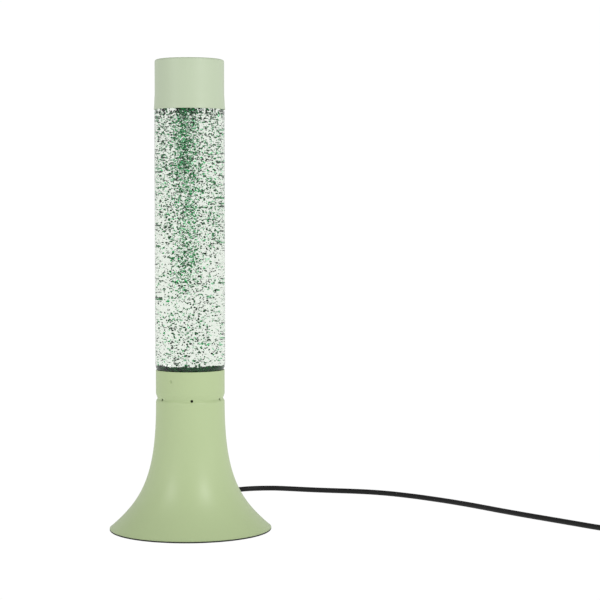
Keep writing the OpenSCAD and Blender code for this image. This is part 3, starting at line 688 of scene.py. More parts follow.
@dataclass
class Studio:
    """The plain pale sweep, its soft lights and the camera. None of it is part of the lamp."""

    camera_at: Point3 = (0.093, -1.521, 0.26875)
    camera_dip: float = 2.772
    lens_mm: float = 108.0
    floor_reach: float = 5.0
    wall_bend: float = 1.6
    wall_top: float = 3.2
    world_strength: float = 0.36

    def build(self) -> None:
        """Makes the camera, the lights and the sweep."""
        self.aim_camera()
        self.lay_floor()
        foot, waist = (0.0, 0.0, 0.05), (0.0, 0.0, 0.2)
        self.soft_light("key_softbox", (1.04, -1.16, 1.16), foot, 0.5, 8.5)
        self.soft_light("fill_softbox", (-1.2, -1.05, 1.1), foot, 0.5, 5.5)
        # It only lifts the right side's tone: the glass would otherwise mirror it as a streak
        self.soft_light("side_softbox", (2.0, -0.9, 0.5), waist, 1.2, 7.0).visible_glossy = False
        world = bpy.data.worlds.new("studio_air")
        bpy.context.scene.world = world
        world.use_nodes = True
        world.node_tree.nodes["Background"].inputs["Color"].default_value = linear("#FFFFFF")
        world.node_tree.nodes["Background"].inputs["Strength"].default_value = self.world_strength
        bpy.context.scene.view_settings.view_transform = "Standard"

    def aim_camera(self) -> None:
        """Sets the camera level with the lamp's middle, a little to its right and tipped slightly down."""
        camera = bpy.data.cameras.new("camera")
        camera.lens = self.lens_mm
        camera.sensor_width = 36.0
        holder = bpy.data.objects.new("camera", camera)
        holder.location = self.camera_at
        holder.rotation_euler = (math.radians(90 - self.camera_dip), 0.0, 0.0)
        bpy.context.scene.collection.objects.link(holder)
        bpy.context.scene.camera = holder

    def lay_floor(self) -> None:
        """Makes the round floor, whose rim curves up into a wall far behind every camera place."""
        bend, reach, top = (v / MM for v in (self.wall_bend, self.floor_reach, self.wall_top))
        arc = [
            (reach + bend * math.sin(math.radians(a)), bend * (1 - math.cos(math.radians(a))))
            for a in range(0, 91, 10)
        ]
        inner = [(0.0, 0.0), *arc, (reach + bend, top)]
        skin = [(r + 20, z) for r, z in reversed(inner[1:])]
        floor = lathe("studio_sweep", [*inner, *[(r, z - 20) for r, z in skin], (0.0, -20.0)], LIT_SWEEP, 96, 60)

    def soft_light(self, name: str, at: Point3, towards: Point3, size: float, power: float) -> bpy.types.Object:
        """Hangs one square softbox.

        Args:
            name: The light's name.
            at: Where it hangs, in metres.
            towards: The point that it faces.
            size: The length of its side, in metres.
            power: Its power, in watts.

        Returns:
            The light's object.
        """
        lamp = bpy.data.lights.new(name, "AREA")
        lamp.size = size
        lamp.energy = power
        holder = bpy.data.objects.new(name, lamp)
        holder.location = at
        holder.rotation_euler = (Vector(towards) - Vector(at)).to_track_quat("-Z", "Y").to_euler()
        bpy.context.scene.collection.objects.link(holder)
        return holder


def smooth_route(points: Sequence[Point3], step: float = 2.5) -> list[Point3]:
    """Draws a smooth line through chosen points.

    Args:
        points: The points in millimetres.
        step: About how far apart the new points are.

    Returns:
        Points along a Catmull-Rom line, both ends included.
    """
    knots = [Vector(p) for p in points]
    line: list[Point3] = []
    for i in range(len(knots) - 1):
        p1, p2 = knots[i], knots[i + 1]
        p0 = knots[i - 1] if i else 2 * p1 - p2
        p3 = knots[i + 2] if i + 2 < len(knots) else 2 * p2 - p1
        count = max(1, round((p2 - p1).length / step))
        for k in range(count):
            t = k / count
            spot = 0.5 * (
                2 * p1 + (p2 - p0) * t + (2 * p0 - 5 * p1 + 4 * p2 - p3) * t**2 + (3 * p1 - p0 - 3 * p2 + p3) * t**3
            )
            line.append(tuple(spot))
    line.append(tuple(knots[-1]))
    return line


@dataclass
class MainsLead:
    """The free cord: from the lamp to the switch, then a neat coil and the last stretch to the plug."""

    diameter: float = 4.8
    coil_centre: Point2 = (457.0, 24.0)
    low: float = 3.4
    high: float = 7.73
    tie_angle: float = 200.0
    # Behind the lamp, then out to the right and forward along the table to the switch
    run_points: tuple[Point3, ...] = (
        (0, 93.3, 8), (0, 98, 8), (0, 108, 7.2), (0, 120, 5.4), (0, 132, 3.6), (1, 143, 2.6), (3, 154, 2.5),
        (6, 165, 2.5), (11, 176, 2.5), (19, 187, 2.5), (29, 198, 2.5), (41, 206.5, 2.5), (55, 210.5, 2.5),
        (69, 211, 2.5), (83, 207.5, 2.5), (97, 203, 2.5), (111, 199, 2.5), (126, 195.5, 2.5), (141, 192.3, 2.5),
        (155, 188.3, 2.5), (168, 183, 2.5), (181, 175.5, 2.5), (193, 166.5, 2.5), (205, 156.5, 2.5),
        (216, 146, 2.5), (227, 135, 2.5), (238, 123, 2.5), (249, 110, 2.5), (260, 96, 2.5), (271, 81.5, 2.5),
        (283, 66.5, 2.5), (295, 52, 2.5), (307, 38, 2.5), (319, 24, 2.5), (331, 10, 2.5), (343, -4, 2.5),
        (354, -15, 2.6), (366, -23, 3.7), (378, -26.5, 5.6), (391, -27, 7),
    )  # fmt: skip
    to_coil_points: tuple[Point3, ...] = (
        (449, -27, 7), (460, -27, 5.3), (470, -25, 3.9), (479, -19, 3.4), (485, -10, 3.4), (488, 1, 3.4),
        (489, 12, 3.4),
    )  # fmt: skip
    to_plug_points: tuple[Point3, ...] = (
        (448, 55, 8.2), (441, 59.5, 7.9), (437.2, 66, 7.2), (436, 74, 6.85), (436, 82, 6.85),
    )  # fmt: skip
    # The coil's rings, as turns from its east point: (up to this turn, radius, height of the cord's middle)
    rings: tuple[tuple[float, float, float], ...] = (
        (0.75, 32.0, 3.4), (1.75, 27.0, 3.4), (2.45, 22.0, 3.4), (3.2, 24.5, 7.73), (4.25, 29.5, 7.73),
    )  # fmt: skip
    cross_over: float = 0.22

    def build(self, plug_pieces: Sequence[bpy.types.Object], switch_pieces: Sequence[bpy.types.Object]) -> None:
        """Makes both cords and the tie round the coil.

        Args:
            plug_pieces: What is on the far end. It is not used.
            switch_pieces: What is between the two cords. It is not used.
        """
        run = smooth_route(self.run_points)
        tail = smooth_route([*self.to_coil_points, *self.coil_points(), *self.to_plug_points])
        lamp_cord = self.strand("lamp_cord", run, "cord_run")
        plug_cord = self.strand("plug_cord", tail, "cord_to_coil", "cord_coil", "cord_to_plug")
        tie = self.cable_tie()

    def coil_points(self) -> list[Point3]:
        """The coil's own points, twenty-four to a turn, with each ring crossing smoothly to the next.

        Returns:
            The points in millimetres.
        """
        per_turn = 24
        points = []
        for k in range(round(self.rings[-1][0] * per_turn) + 1):
            turn = k / per_turn
            _, radius, height = self.rings[0]
            for (until, *_), (_, next_radius, next_height) in zip(self.rings, self.rings[1:]):
                share = min(1.0, max(0.0, (turn - until) / self.cross_over))
                blend = share * share * (3 - 2 * share)
                radius += blend * (next_radius - radius)
                height += blend * (next_height - height)
            angle = math.tau * turn
            points.append(
                (
                    self.coil_centre[0] + radius * math.cos(angle),
                    self.coil_centre[1] + radius * math.sin(angle),
                    height,
                )
            )
        return points

    def strand(self, name: str, route: Sequence[Point3], *nodes: str) -> bpy.types.Object:
        """Makes one round cord along a route.

        Args:
            name: The cord's name.
            route: The line of its middle, in millimetres.
            nodes: The CAD nodes that it stands for.

        Returns:
            The cord's object.
        """
        curve = bpy.data.curves.new(name, "CURVE")
        curve.dimensions = "3D"
        curve.bevel_depth = self.diameter / 2 * MM
        curve.bevel_resolution = 6
        curve.use_fill_caps = True
        spline = curve.splines.new("POLY")
        spline.points.add(len(route) - 1)
        for point, spot in zip(spline.points, route):
            point.co = (*(c * MM for c in spot), 1.0)
        spline.use_smooth = True
        curve.materials.append(CORD_PVC.make())
        piece = bpy.data.objects.new(name, curve)
        bpy.context.scene.collection.objects.link(piece)
        return place(piece, Body.BASE, "cord_pvc", nodes)

    def cable_tie(self) -> bpy.types.Object:
        """Makes the nylon tie round the coil: a strap with rounded bends, its head on top and a cut tail.

        Returns:
            The tie, placed on its body.
        """
        gap, thick, half_width, bend = 0.45, 0.9, 2.3, 1.6
        radii = [radius for _, radius, _ in self.rings]
        near, far, grow = min(radii), max(radii), self.diameter / 2
        left, right, top = near - grow - gap, far + grow + gap, self.high + grow + gap
        band = rounded(
            [
                (left, self.low - grow - gap, 1.4),
                (right, self.low - grow - gap, 1.4),
                (right, self.low + grow, bend),
                (far, top, bend),
                (near, top, bend),
                (left, self.low + grow, bend),
            ]
        )
        centre = (near + far) / 2
        middle = Vector((centre, 5.6))
        outer = []
        for x, z in band:
            away = (Vector((x, z)) - middle).normalized() * thick
            outer.append((x + away.x, max(0.1, z + away.y)))
        sections = []
        for (x1, z1), (x2, z2) in zip(band + band[:1], outer + outer[:1]):
            sections.append([(x1, -half_width, z1), (x1, half_width, z1), (x2, half_width, z2), (x2, -half_width, z2)])
        strap = loft("cord_tie_strap", sections, TIE_NYLON)
        head = loft(
            "tie_head",
            [
                [(centre + x, y, top + z) for x, y in round_box(3.0 - inset, 3.1 - inset, 0.8)]
                for z, inset in ((-0.1, 0.25), (0.2, 0), (2.3, 0), (2.8, 0.5))
            ],
            TIE_NYLON,
        )
        tail = loft(
            "tie_tail",
            [
                [(x, -half_width, z), (x, half_width, z), (x, half_width, z + 0.8), (x, -half_width, z + 0.8)]
                for x, z in ((27.5, top + 1.0), (30.4, top + 1.0), (31.6, top + 1.3))
            ],
            TIE_NYLON,
        )
        join("cord_tie_strap", strap, head, tail)
        turn = Matrix.Rotation(math.radians(self.tie_angle), 4, "Z")
        shift = Matrix.Translation((self.coil_centre[0] * MM, self.coil_centre[1] * MM, 0))
        return place(move(strap, shift @ turn), Body.BASE, "tie_plastic", ("cord_tie",))


def join(name: str, first: bpy.types.Object, *others: bpy.types.Object) -> bpy.types.Object:
    """Joins other pieces' meshes into the first, which keeps its material, and removes them.

    Args:
        name: The joined piece's name.
        first: The piece that stays.
        others: The pieces that go into it.

    Returns:
        The joined piece.
    """
    work = bmesh.new()
    for piece in (first, *others):
        work.from_mesh(piece.data)
    work.to_mesh(first.data)
    work.free()
    for piece in others:
        bpy.data.objects.remove(piece)
    first.name = name
    tidy(first)
    return first


@dataclass
class Base:
    """The powder-coated shell with its groove, vents and dimples, the rubber ring, and what closes it below."""

    rim_r: float = from_cad("base_shell", HIGH, "x")
    lip_z: float = from_cad("base_shell", HIGH)
    neck_r: float = 29.1
    wall: float = 0.9
    groove_z: float = 111.9
    groove_depth: float = 1.5
    groove_upper: float = 4.2
    groove_lower: float = 2.4
    foot_top: float = 1.4
    foot_width: float = 9.8
    vent_r: float = 1.15
    vent_first: float = 276.0
    vent_count: int = 6
    dimple_angles: tuple[float, ...] = (239.0, 359.0, 119.0)
    dimple_z: float = 127.7
    dimple_r: float = 1.4
    dimple_depth: float = 1.1
    dimple_inside: float = 0.5
    gland_z: float = 8.0
    gland_cut_r: float = 4.7

    def build(self) -> None:
        """Makes the shell and the foot ring, and dresses the parts that keep their CAD shape."""
        place(self.shell(), Body.BASE, "base_paint", ("base_shell",))
        place(self.foot_ring(), Body.BASE, "foot_rubber", ("foot_ring",))
        dress("bottom_cover", COVER_PP)
        dress("cover_screws", ZINC)
        dress("cover_posts", ZINC)
        dress("seat_ring", SILICONE)

    def flare(self, depth: float, last: float) -> list[Point2]:
        """The curve from the neck down to the rim.

        Args:
            depth: How far inside the outer skin it runs.
            last: The share of the curve's length that it covers.

        Returns:
            Points from the top down.
        """
        top = self.groove_z - self.groove_lower - 1.5
        a, b = Vector((self.neck_r, top)), Vector((self.neck_r, 0.405 * top))
        d = Vector((self.rim_r - 0.4, self.foot_top + 0.5))
        c = d + Vector((-25.5, 22.4))
        points = []
        steps = 60
        for i in range(steps + 1):
            t = last * i / steps
            spot = (1 - t) ** 3 * a + 3 * t * (1 - t) ** 2 * b + 3 * t * t * (1 - t) * c + t**3 * d
            way = (1 - t) ** 2 * (b - a) + 2 * t * (1 - t) * (c - b) + t * t * (d - c)
            spot += Vector((way.y, -way.x)).normalized() * depth
            points.append((spot.x, spot.y))
        return points

    def groove(self, depth: float) -> list[tuple[float, ...]]:
        """The rolled groove from its top edge down, at a depth of skin, as corners with radii.

        Args:
            depth: How far inside the outer skin it runs, in millimetres.

        Returns:
            Points as (across, up) or (across, up, radius).
        """
        r, z = self.neck_r - depth, self.groove_z
        return [
            (r, z + self.groove_upper + 0.6),
            (r, z + self.groove_upper, 2.5),
            (r - self.groove_depth, z, 0.45),
            (r, z - self.groove_lower + 0.5, 2.8),
            (r, z - self.groove_lower - 0.6),
        ]

    def collar(self, depth: float) -> list[Point2]:
        """The straight wall above the groove, in short steps so that the dimples press into it smoothly.

        Args:
            depth: How far inside the outer skin it runs, in millimetres.

        Returns:
            Points from the top down.
        """
        low, high, step = self.groove_z + self.groove_upper + 1.6, self.lip_z - 1.2, 0.4
        count = round((high - low) / step)
        return [(self.neck_r - depth, high - (high - low) * i / count) for i in range(count + 1)]

    def shell(self) -> bpy.types.Object:
        """Makes the spun shell: a rolled lip, the dimpled collar, the vented groove, and the flare to the rim.

        Returns:
            The shell, powder-coated outside and bare inside, the inside a dark grey that is painted shade.
        """
        lip, r = self.lip_z, self.neck_r
        edge = rounded(
            [(r - self.wall, lip - 1.2), (r - self.wall, lip, 0.3), (r, lip, 0.5), (r, lip - 1.2)], closed=False
        )
        outer = rounded(self.groove(0.0), closed=False)
        inner = rounded(self.groove(self.wall), closed=False)
        rim, foot_z = self.rim_r, self.foot_top
        foot = [(rim, foot_z + 0.3), (rim - 0.15, foot_z), (rim - 1.3, foot_z)]
        outline = [
            *edge[:-1],
            *self.collar(0.0),
            *outer,
            *self.flare(0.0, 1.0),
            *foot,
            *reversed(self.flare(self.wall, 0.96)),
            *reversed(inner),
            *reversed(self.collar(self.wall)),
        ]
        shell = lathe("base_shell_coated", outline[1:], BASE_COAT, 384, 40, self.dimpled)
        vents = [
            self.spoke(self.vent_r, 20.0, 40.0, self.groove_z, self.vent_first + 360 * i / self.vent_count)
            for i in range(self.vent_count)
        ]
        join("vents", *vents)
        near, far, half = 47.0, 90.0, self.gland_cut_r
        notch = self.spoke(half, near, far, self.gland_z, 90.0)
        below = ((-half, -1.0), (half, -1.0), (half, self.gland_z), (-half, self.gland_z))
        slot = loft("slot", [[(x, y, z) for x, z in below] for y in (near, far)], BASE_COAT)
        # The inside faces take the bare steel, painted dark grey as painted shade so that the holes look black
        shell.data.materials.append(BARE_STEEL_AND_SHADE.make())
        for face in shell.data.polygons:
            face.material_index = int(face.normal.x * face.center.x + face.normal.y * face.center.y < 0)
        cut(shell, [vents[0], notch, slot])
        tidy(shell, 40)
        return shell

    def dimpled(self, radius: float, height: float, angle: float) -> Point3:
        """Presses the collar inwards round each dimple's middle.

        Args:
            radius: The point's radius.
            height: The point's height.
            angle: The point's angle round the axis, in radians.

        Returns:
            Its new radius, and its height and angle as they were.
        """
        if height < self.dimple_z - 4 or radius > self.neck_r + 0.01:
            return radius, height, angle
        for middle in self.dimple_angles:
            across = (math.degrees(angle) - middle + 180) % 360 - 180
            far = math.hypot(math.radians(across) * self.neck_r, height - self.dimple_z) / self.dimple_r
            if far < 1:
                depth = self.dimple_depth if radius > self.neck_r - 0.1 else self.dimple_inside
                return radius - depth * (1 - far * far), height, angle
        return radius, height, angle

    def spoke(self, radius: float, near: float, far: float, height: float, azimuth: float) -> bpy.types.Object:
        """A round cutter that points outwards from the lamp's axis.

        Args:
            radius: The cutter's radius.
            near: How far from the axis it starts.
            far: How far from the axis it ends.
            height: How high it lies.
            azimuth: The way it points, in degrees from X.

        Returns:
            The cutter.
        """
        tip = Matrix.Rotation(math.radians(90), 4, "Y")
        turn = Matrix.Rotation(math.radians(azimuth), 4, "Z")
        return move(rod(radius, near, far, 32), Matrix.Translation((0, 0, height * MM)) @ turn @ tip)

    def foot_ring(self) -> bpy.types.Object:
        """Makes the rubber ring: a rounded outer edge, three grip ribs below and the step that holds the cover.

        Returns:
            The ring.
        """
        out = self.rim_r
        ribs: list[tuple[float, ...]] = []
        for i in range(3):
            r = out - 8.2 + 2.5 * i
            ribs += [(r, 0.0, 0.15), (r + 1.5, 0.0, 0.15), (r + 1.7, 0.5, 0.1), (r + 2.3, 0.5, 0.1)]
        outline = rounded(
            [
                (out - self.foot_width, 0.0, 0.3),
                *ribs,
                (out - 0.5, 0.0, 0.3),
                (out, 0.5, 0.3),
                (out, 1.35, 0.1),
                (out - 6.5, 1.35, 0.1),
                (out - 7.2, 2.95, 0.2),
                (out - self.foot_width, 2.95, 0.3),
            ]
        )
        return lathe("rubber_foot_ring", outline, RUBBER, 256)


@dataclass
class Wiring:
    """What stands inside the base: the bracket and lampholder, the terminals, the clamp and the cores."""

    gland_z: float = 8.0
    block_out: float = 53.3
    relief_y: float = 69.3
    relief_tip: float = 93.3
    tip_r: float = 3.0
    bore_r: float = 2.5

    def build(self) -> list[bpy.types.Object]:
        """Makes the cord's strain relief and dresses the parts that keep their CAD shape.

        Returns:
            The pieces that hold the lamp's end of the cord.
        """
        relief = place(self.strain_relief(), Body.BASE, "cord_pvc", ("cord_gland",))
        for node, finish in (
            ("holder_bracket", ZINC),
            ("bracket_screws", ZINC),
            ("holder_nipple", ZINC),
            ("nipple_nut", ZINC),
            ("clamp_screws", ZINC),
            ("terminal_screws", ZINC),
            ("lampholder_body", HOLDER_PBT),
            ("holder_sleeve", BRASS),
            ("holder_centre_contact", BRASS),
            ("terminal_inserts", BRASS),
            ("terminal_block", NYLON),
            ("cord_clamp", COVER_PP),
            ("lead_live", BROWN_CORE),
            ("lead_neutral", BLUE_CORE),
            ("inner_cord", CORD_PVC),
        ):
            dress(node, finish)
        dress("cord_cores", BROWN_CORE, BLUE_CORE)
        return [relief]

    def strain_relief(self) -> bpy.types.Object:
        """Makes the moulded relief: an anchor inside the shell, a collar outside and a ribbed taper.

        Returns:
            The relief, lying along Y at the height of the cord.
        """
        near, far = self.relief_y, self.relief_tip
        ribs: list[tuple[float, ...]] = []
        count = 7
        for i in range(count):
            y = near + 3.4 + i * (far - near - 5.4) / count
            wide = 4.5 + (self.tip_r + 0.1 - 4.5) * i / (count - 1)
            ribs += [(wide - 0.9, y, 0.25), (wide - 0.9, y + 1.0, 0.25), (wide, y + 1.25, 0.3), (wide, y + 2.3, 0.3)]
        outline = rounded(
            [
                (self.bore_r, self.block_out - 5.8, 0.1),
                (6.0, self.block_out - 5.8, 0.6),
                (6.0, self.block_out, 0.6),
                (4.4, self.block_out, 0.3),
                (4.4, near, 0.2),
                (5.6, near, 0.5),
                (5.6, near + 2.2, 0.9),
                *ribs,
                (self.tip_r, far - 1.6, 0.3),
                (self.tip_r, far, 0.4),
                (self.bore_r, far, 0.1),
            ]
        )
        relief = lathe("strain_relief", outline, MOULDED_PVC, 96)
        lay = Matrix.Translation((0, 0, self.gland_z * MM)) @ Matrix.Rotation(math.radians(-90), 4, "X")
        return move(relief, lay)


@dataclass
class CordSwitch:
    """The in-line switch: two matt mouldings screwed together from below, and a polished rocker."""

    centre: Point2 = (420.0, -27.0)
    half_length: float = 29.0
    half_width: float = 13.0
    corner: float = 6.0
    wall: float = 1.6
    seam: float = 7.0
    height: float = 16.0
    top_round: float = 3.4
    axle_z: float = 11.0
    axle_r: float = 1.1
    tilt: float = 8.0
    rocker_half: float = 9.0
    rocker_width: float = 11.0
    crest: float = 5.4
    cord_r: float = 2.4
    body_gap: float = 0.3
    screw_r: float = 2.9
    screw_recess: float = 2.1

    def build(self) -> list[bpy.types.Object]:
        """Makes both mouldings and the rocker.

        Returns:
            The pieces that hang on the cord, CAD nodes among them.
        """
        at = Matrix.Translation((self.centre[0] * MM, self.centre[1] * MM, 0))
        pieces = [
            place(move(self.lower_half(), at), Body.BASE, "plug_plastic", ("switch_base",)),
            place(move(self.upper_half(), at), Body.BASE, "plug_plastic", ("switch_cover",)),
        ]
        lean = Matrix.Translation((0, 0, self.axle_z * MM)) @ Matrix.Rotation(math.radians(-self.tilt), 4, "Y")
        pieces.append(place(move(self.rocker(), at @ lean), Body.ROCKER, "rocker_plastic", ("switch_rocker",)))
        for node, finish in (
            ("rocker_pin", ZINC),
            ("switch_terminals", BRASS),
            ("switch_terminal_screws", ZINC),
            ("switch_screws", ZINC),
            ("rocker_contact", BRASS),
        ):
            dress(node, finish)
            pieces.append(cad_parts[node])
        return pieces

    def ring(self, height: float, inset: float, corner: float | None = None) -> list[Point3]:
        """One level of the housing's outline, drawn in by an inset.

        Args:
            height: How high the level is.
            inset: How far inside the outline it lies.
            corner: The corner's radius, or none for the housing's own.

        Returns:
            Its points.
        """
        corner = self.corner if corner is None else corner
        shape = round_box(self.half_length - inset, self.half_width - inset, max(corner - inset * 0.6, 1.0), 8)
        return [(x, y, height) for x, y in shape]

    def cavity(self, low: float, high: float) -> bpy.types.Object:
        """The space inside the housing, between two heights, with the screw posts left standing.

        Args:
            low: Where the space starts.
            high: Where it ends.

        Returns:
            The space, as a cutter.
        """
        hollow = loft("hollow", [self.ring(low, self.wall, 5.0), self.ring(high, self.wall, 5.0)], SWITCH_ABS)
        posts = [self.upright(3.8, low - 1, high + 1, x, y) for x, y in self.screw_places()]
        cut(hollow, posts)
        return hollow

    def screw_places(self) -> list[Point2]:
        """Where the two housing screws stand."""
        return [(s * (self.half_length - 6), s * (self.half_width - 6)) for s in (-1, 1)]

    def upright(self, radius: float, low: float, high: float, x: float, y: float) -> bpy.types.Object:
        """A round cutter that stands upright."""
        return move(rod(radius, low, high), Matrix.Translation((x * MM, y * MM, 0)))

    def along(self, radius: float, half: float, axis: str, height: float) -> bpy.types.Object:
        """A round cutter that lies along X or Y through the housing's middle.

        Args:
            radius: The cutter's radius.
            half: Half its length.
            axis: "X" or "Y".
            height: How high it lies.

        Returns:
            The cutter.
        """
        turn = Matrix.Rotation(math.radians(90), 4, "Y" if axis == "X" else "X")
        return move(rod(radius, -half, half), Matrix.Translation((0, 0, height * MM)) @ turn)

    def lower_half(self) -> bpy.types.Object:
        """Makes the lower moulding, with rounded feet and countersunk screw wells.

        Returns:
            The moulding.
        """
        levels = [(0.0, 1.1), (0.25, 0.5), (0.8, 0.1), (1.6, 0.0), (self.seam - 0.5, 0.0), (self.seam - 0.05, 0.35)]
        half = loft("switch_lower_half", [self.ring(z, inset) for z, inset in levels], SWITCH_ABS)
        wells = [self.upright(self.screw_r, -1.0, self.screw_recess, x, y) for x, y in self.screw_places()]
        holes = [self.upright(1.7, -1.0, self.seam + 1, x, y) for x, y in self.screw_places()]
        cord = self.along(self.cord_r + 0.05, self.half_length + 5, "X", self.seam)
        cut(half, [self.cavity(self.wall, self.seam + 1), cord, *wells, *holes])
        tidy(half)
        return half

    def upper_half(self) -> bpy.types.Object:
        """Makes the upper moulding: a soft top edge, a raised frame round the rocker and cheeks for its pin.

        Returns:
            The moulding.
        """
        levels = [(self.seam, 0.35), (self.seam + 0.45, 0.0), (self.height - self.top_round, 0.0)]
        for k in range(1, 7):
            a = math.radians(15 * k)
            levels.append((self.height - self.top_round * (1 - math.sin(a)), self.top_round * (1 - math.cos(a))))
        half = loft("switch_upper_half", [self.ring(z, inset) for z, inset in levels], SWITCH_ABS)
        inside = self.height - self.wall
        reach = self.rocker_width / 2 + self.body_gap
        cut(half, [self.cavity(self.seam - 1, inside)])
        cheeks = [
            loft(
                "cheek",
                [
                    [(x, s * y, z) for x, y in ((-4, reach), (4, reach), (4, reach + 2), (-4, reach + 2))]
                    for z in (self.axle_z - 3, inside + 0.4)
                ],
                SWITCH_ABS,
            )
            for s in (-1, 1)
        ]
        cut(half, cheeks, "UNION")
        tilt = math.radians(self.tilt)
        open_half = self.rocker_half * math.cos(tilt) + self.crest * math.sin(tilt) + self.body_gap
        window = loft(
            "window",
            [[(x, y, z) for x, y in round_box(open_half, reach, 0.6, 4)] for z in (self.axle_z - 4, self.height + 1)],
            SWITCH_ABS,
        )
        cord = self.along(self.cord_r + 0.05, self.half_length + 5, "X", self.seam)
        pin = self.along(self.axle_r + 0.05, reach + 2.02, "Y", self.axle_z)
        pilots = [self.upright(1.2, self.seam - 1, inside - 1, x, y) for x, y in self.screw_places()]
        cut(half, [window, cord, pin, *pilots])
        tidy(half)
        return half

    def rocker(self) -> bpy.types.Object:
        """Makes the rocker: two dished ends that meet in a low ridge, softened edges, and its bore.

        Returns:
            The rocker, level and centred on its axle.
        """
        half, crest, deep = self.rocker_half, self.crest, 1.25
        top = []
        count = 16
        for i in range(count + 1):
            x = half - 0.5 - (2 * half - 1.0) * i / count
            share = abs(x) / half
            top.append((x, crest - deep + deep * share**1.7 - 0.16 * math.sin(math.pi * share)))
        under = ((-half, -0.6, 0.3), (-3.4, -1.2, 0.5), (-2.4, -2.4, 0.4), (2.4, -2.4, 0.4), (3.4, -1.2, 0.5))
        profile = rounded([*under, (half, -0.6, 0.3), (half, crest - 0.5, 0.4)]) + top + [(-half, crest - 0.5)]
        middle = (0.0, 1.2)
        sections = []
        for y, shrink in ((-5.5, 0.5), (-5.35, 0.2), (-5.05, 0.0), (5.05, 0.0), (5.35, 0.2), (5.5, 0.5)):
            ring = []
            for x, z in profile:
                way = Vector((x - middle[0], z - middle[1]))
                spot = way * (1 - shrink / max(way.length, 1.0))
                ring.append((spot.x + middle[0], y, spot.y + middle[1]))
            sections.append(ring)
        rocker = loft("rocker_button", sections, ROCKER_ABS, 40)
        cut(rocker, [self.along(self.axle_r + 0.1, self.rocker_width, "Y", 0.0)])
        tidy(rocker, 40)
        return rocker


@dataclass
class Plug:
    """The flat two-pin plug, moulded on the cord, lying on its broad face."""

    rear: Point3 = (436.0, 82.0, 6.85)
    # Along the body from the cord: (distance, half its width, half its thickness)
    shape: tuple[tuple[float, float, float], ...] = (
        (0.0, 2.9, 2.9), (0.6, 3.4, 3.4), (2.2, 3.5, 3.5), (2.6, 3.0, 3.0), (3.4, 3.0, 3.0), (3.8, 3.6, 3.6),
        (5.2, 3.8, 3.8), (5.6, 3.3, 3.3), (6.4, 3.4, 3.4), (7.0, 4.6, 4.4), (9.0, 6.6, 5.0), (12.0, 11.2, 5.9),
        (15.0, 14.0, 6.4), (18.0, 15.4, 6.65), (22.0, 16.3, 6.8), (27.0, 17.0, 6.85), (33.6, 17.6, 6.85),
        (34.5, 17.45, 6.7), (34.9, 17.0, 6.3), (35.0, 16.4, 5.7),
    )  # fmt: skip
    grip_from: float = 19.0
    grip_pitch: float = 1.9
    grip_count: int = 6
    grip_depth: float = 0.45

    def build(self) -> list[bpy.types.Object]:
        """Makes the plug's body and dresses its pins.

        Returns:
            The pieces that hang on the cord's end, CAD nodes among them.
        """
        body = place(self.body(), Body.BASE, "plug_plastic", ("plug_body",))
        dress("plug_pins", NICKEL)
        dress("pin_sleeves", SWITCH_ABS)
        return [body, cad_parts["plug_pins"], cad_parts["pin_sleeves"]]

    def body(self) -> bpy.types.Object:
        """Makes the moulding: a ribbed neck that swells into a flat body with grip grooves across it.

        Returns:
            The moulding, where it lies on the table.
        """
        step = 0.25
        grips = {self.grip_from + step * k for k in range(48)}
        stations = sorted({d for d, *_ in self.shape} | grips)
        sections = []
        for d in stations:
            half_x, half_z = self.size_at(d)
            phase = (d - self.grip_from) / self.grip_pitch
            if 0 <= phase <= self.grip_count:
                half_z -= self.grip_depth * max(0.0, math.sin(math.tau * phase) ** 3)
            corner = min(half_x, half_z) * (0.98 if d < 8 else 0.62)
            ring = [
                (self.rear[0] + x, self.rear[1] + d, self.rear[2] + z) for x, z in round_box(half_x, half_z, corner, 9)
            ]
            sections.append(ring)
        return loft("plug_moulding", sections, MOULDED_PVC, 40)

    def size_at(self, distance: float) -> Point2:
        """Half the body's width and thickness at a distance from the cord.

        Args:
            distance: How far along the body.

        Returns:
            Both halves, in millimetres.
        """
        for (d1, x1, z1), (d2, x2, z2) in zip(self.shape, self.shape[1:]):
            if d1 <= distance <= d2:
                t = (distance - d1) / (d2 - d1)
                return x1 + t * (x2 - x1), z1 + t * (z2 - z1)
        return self.shape[-1][1:]


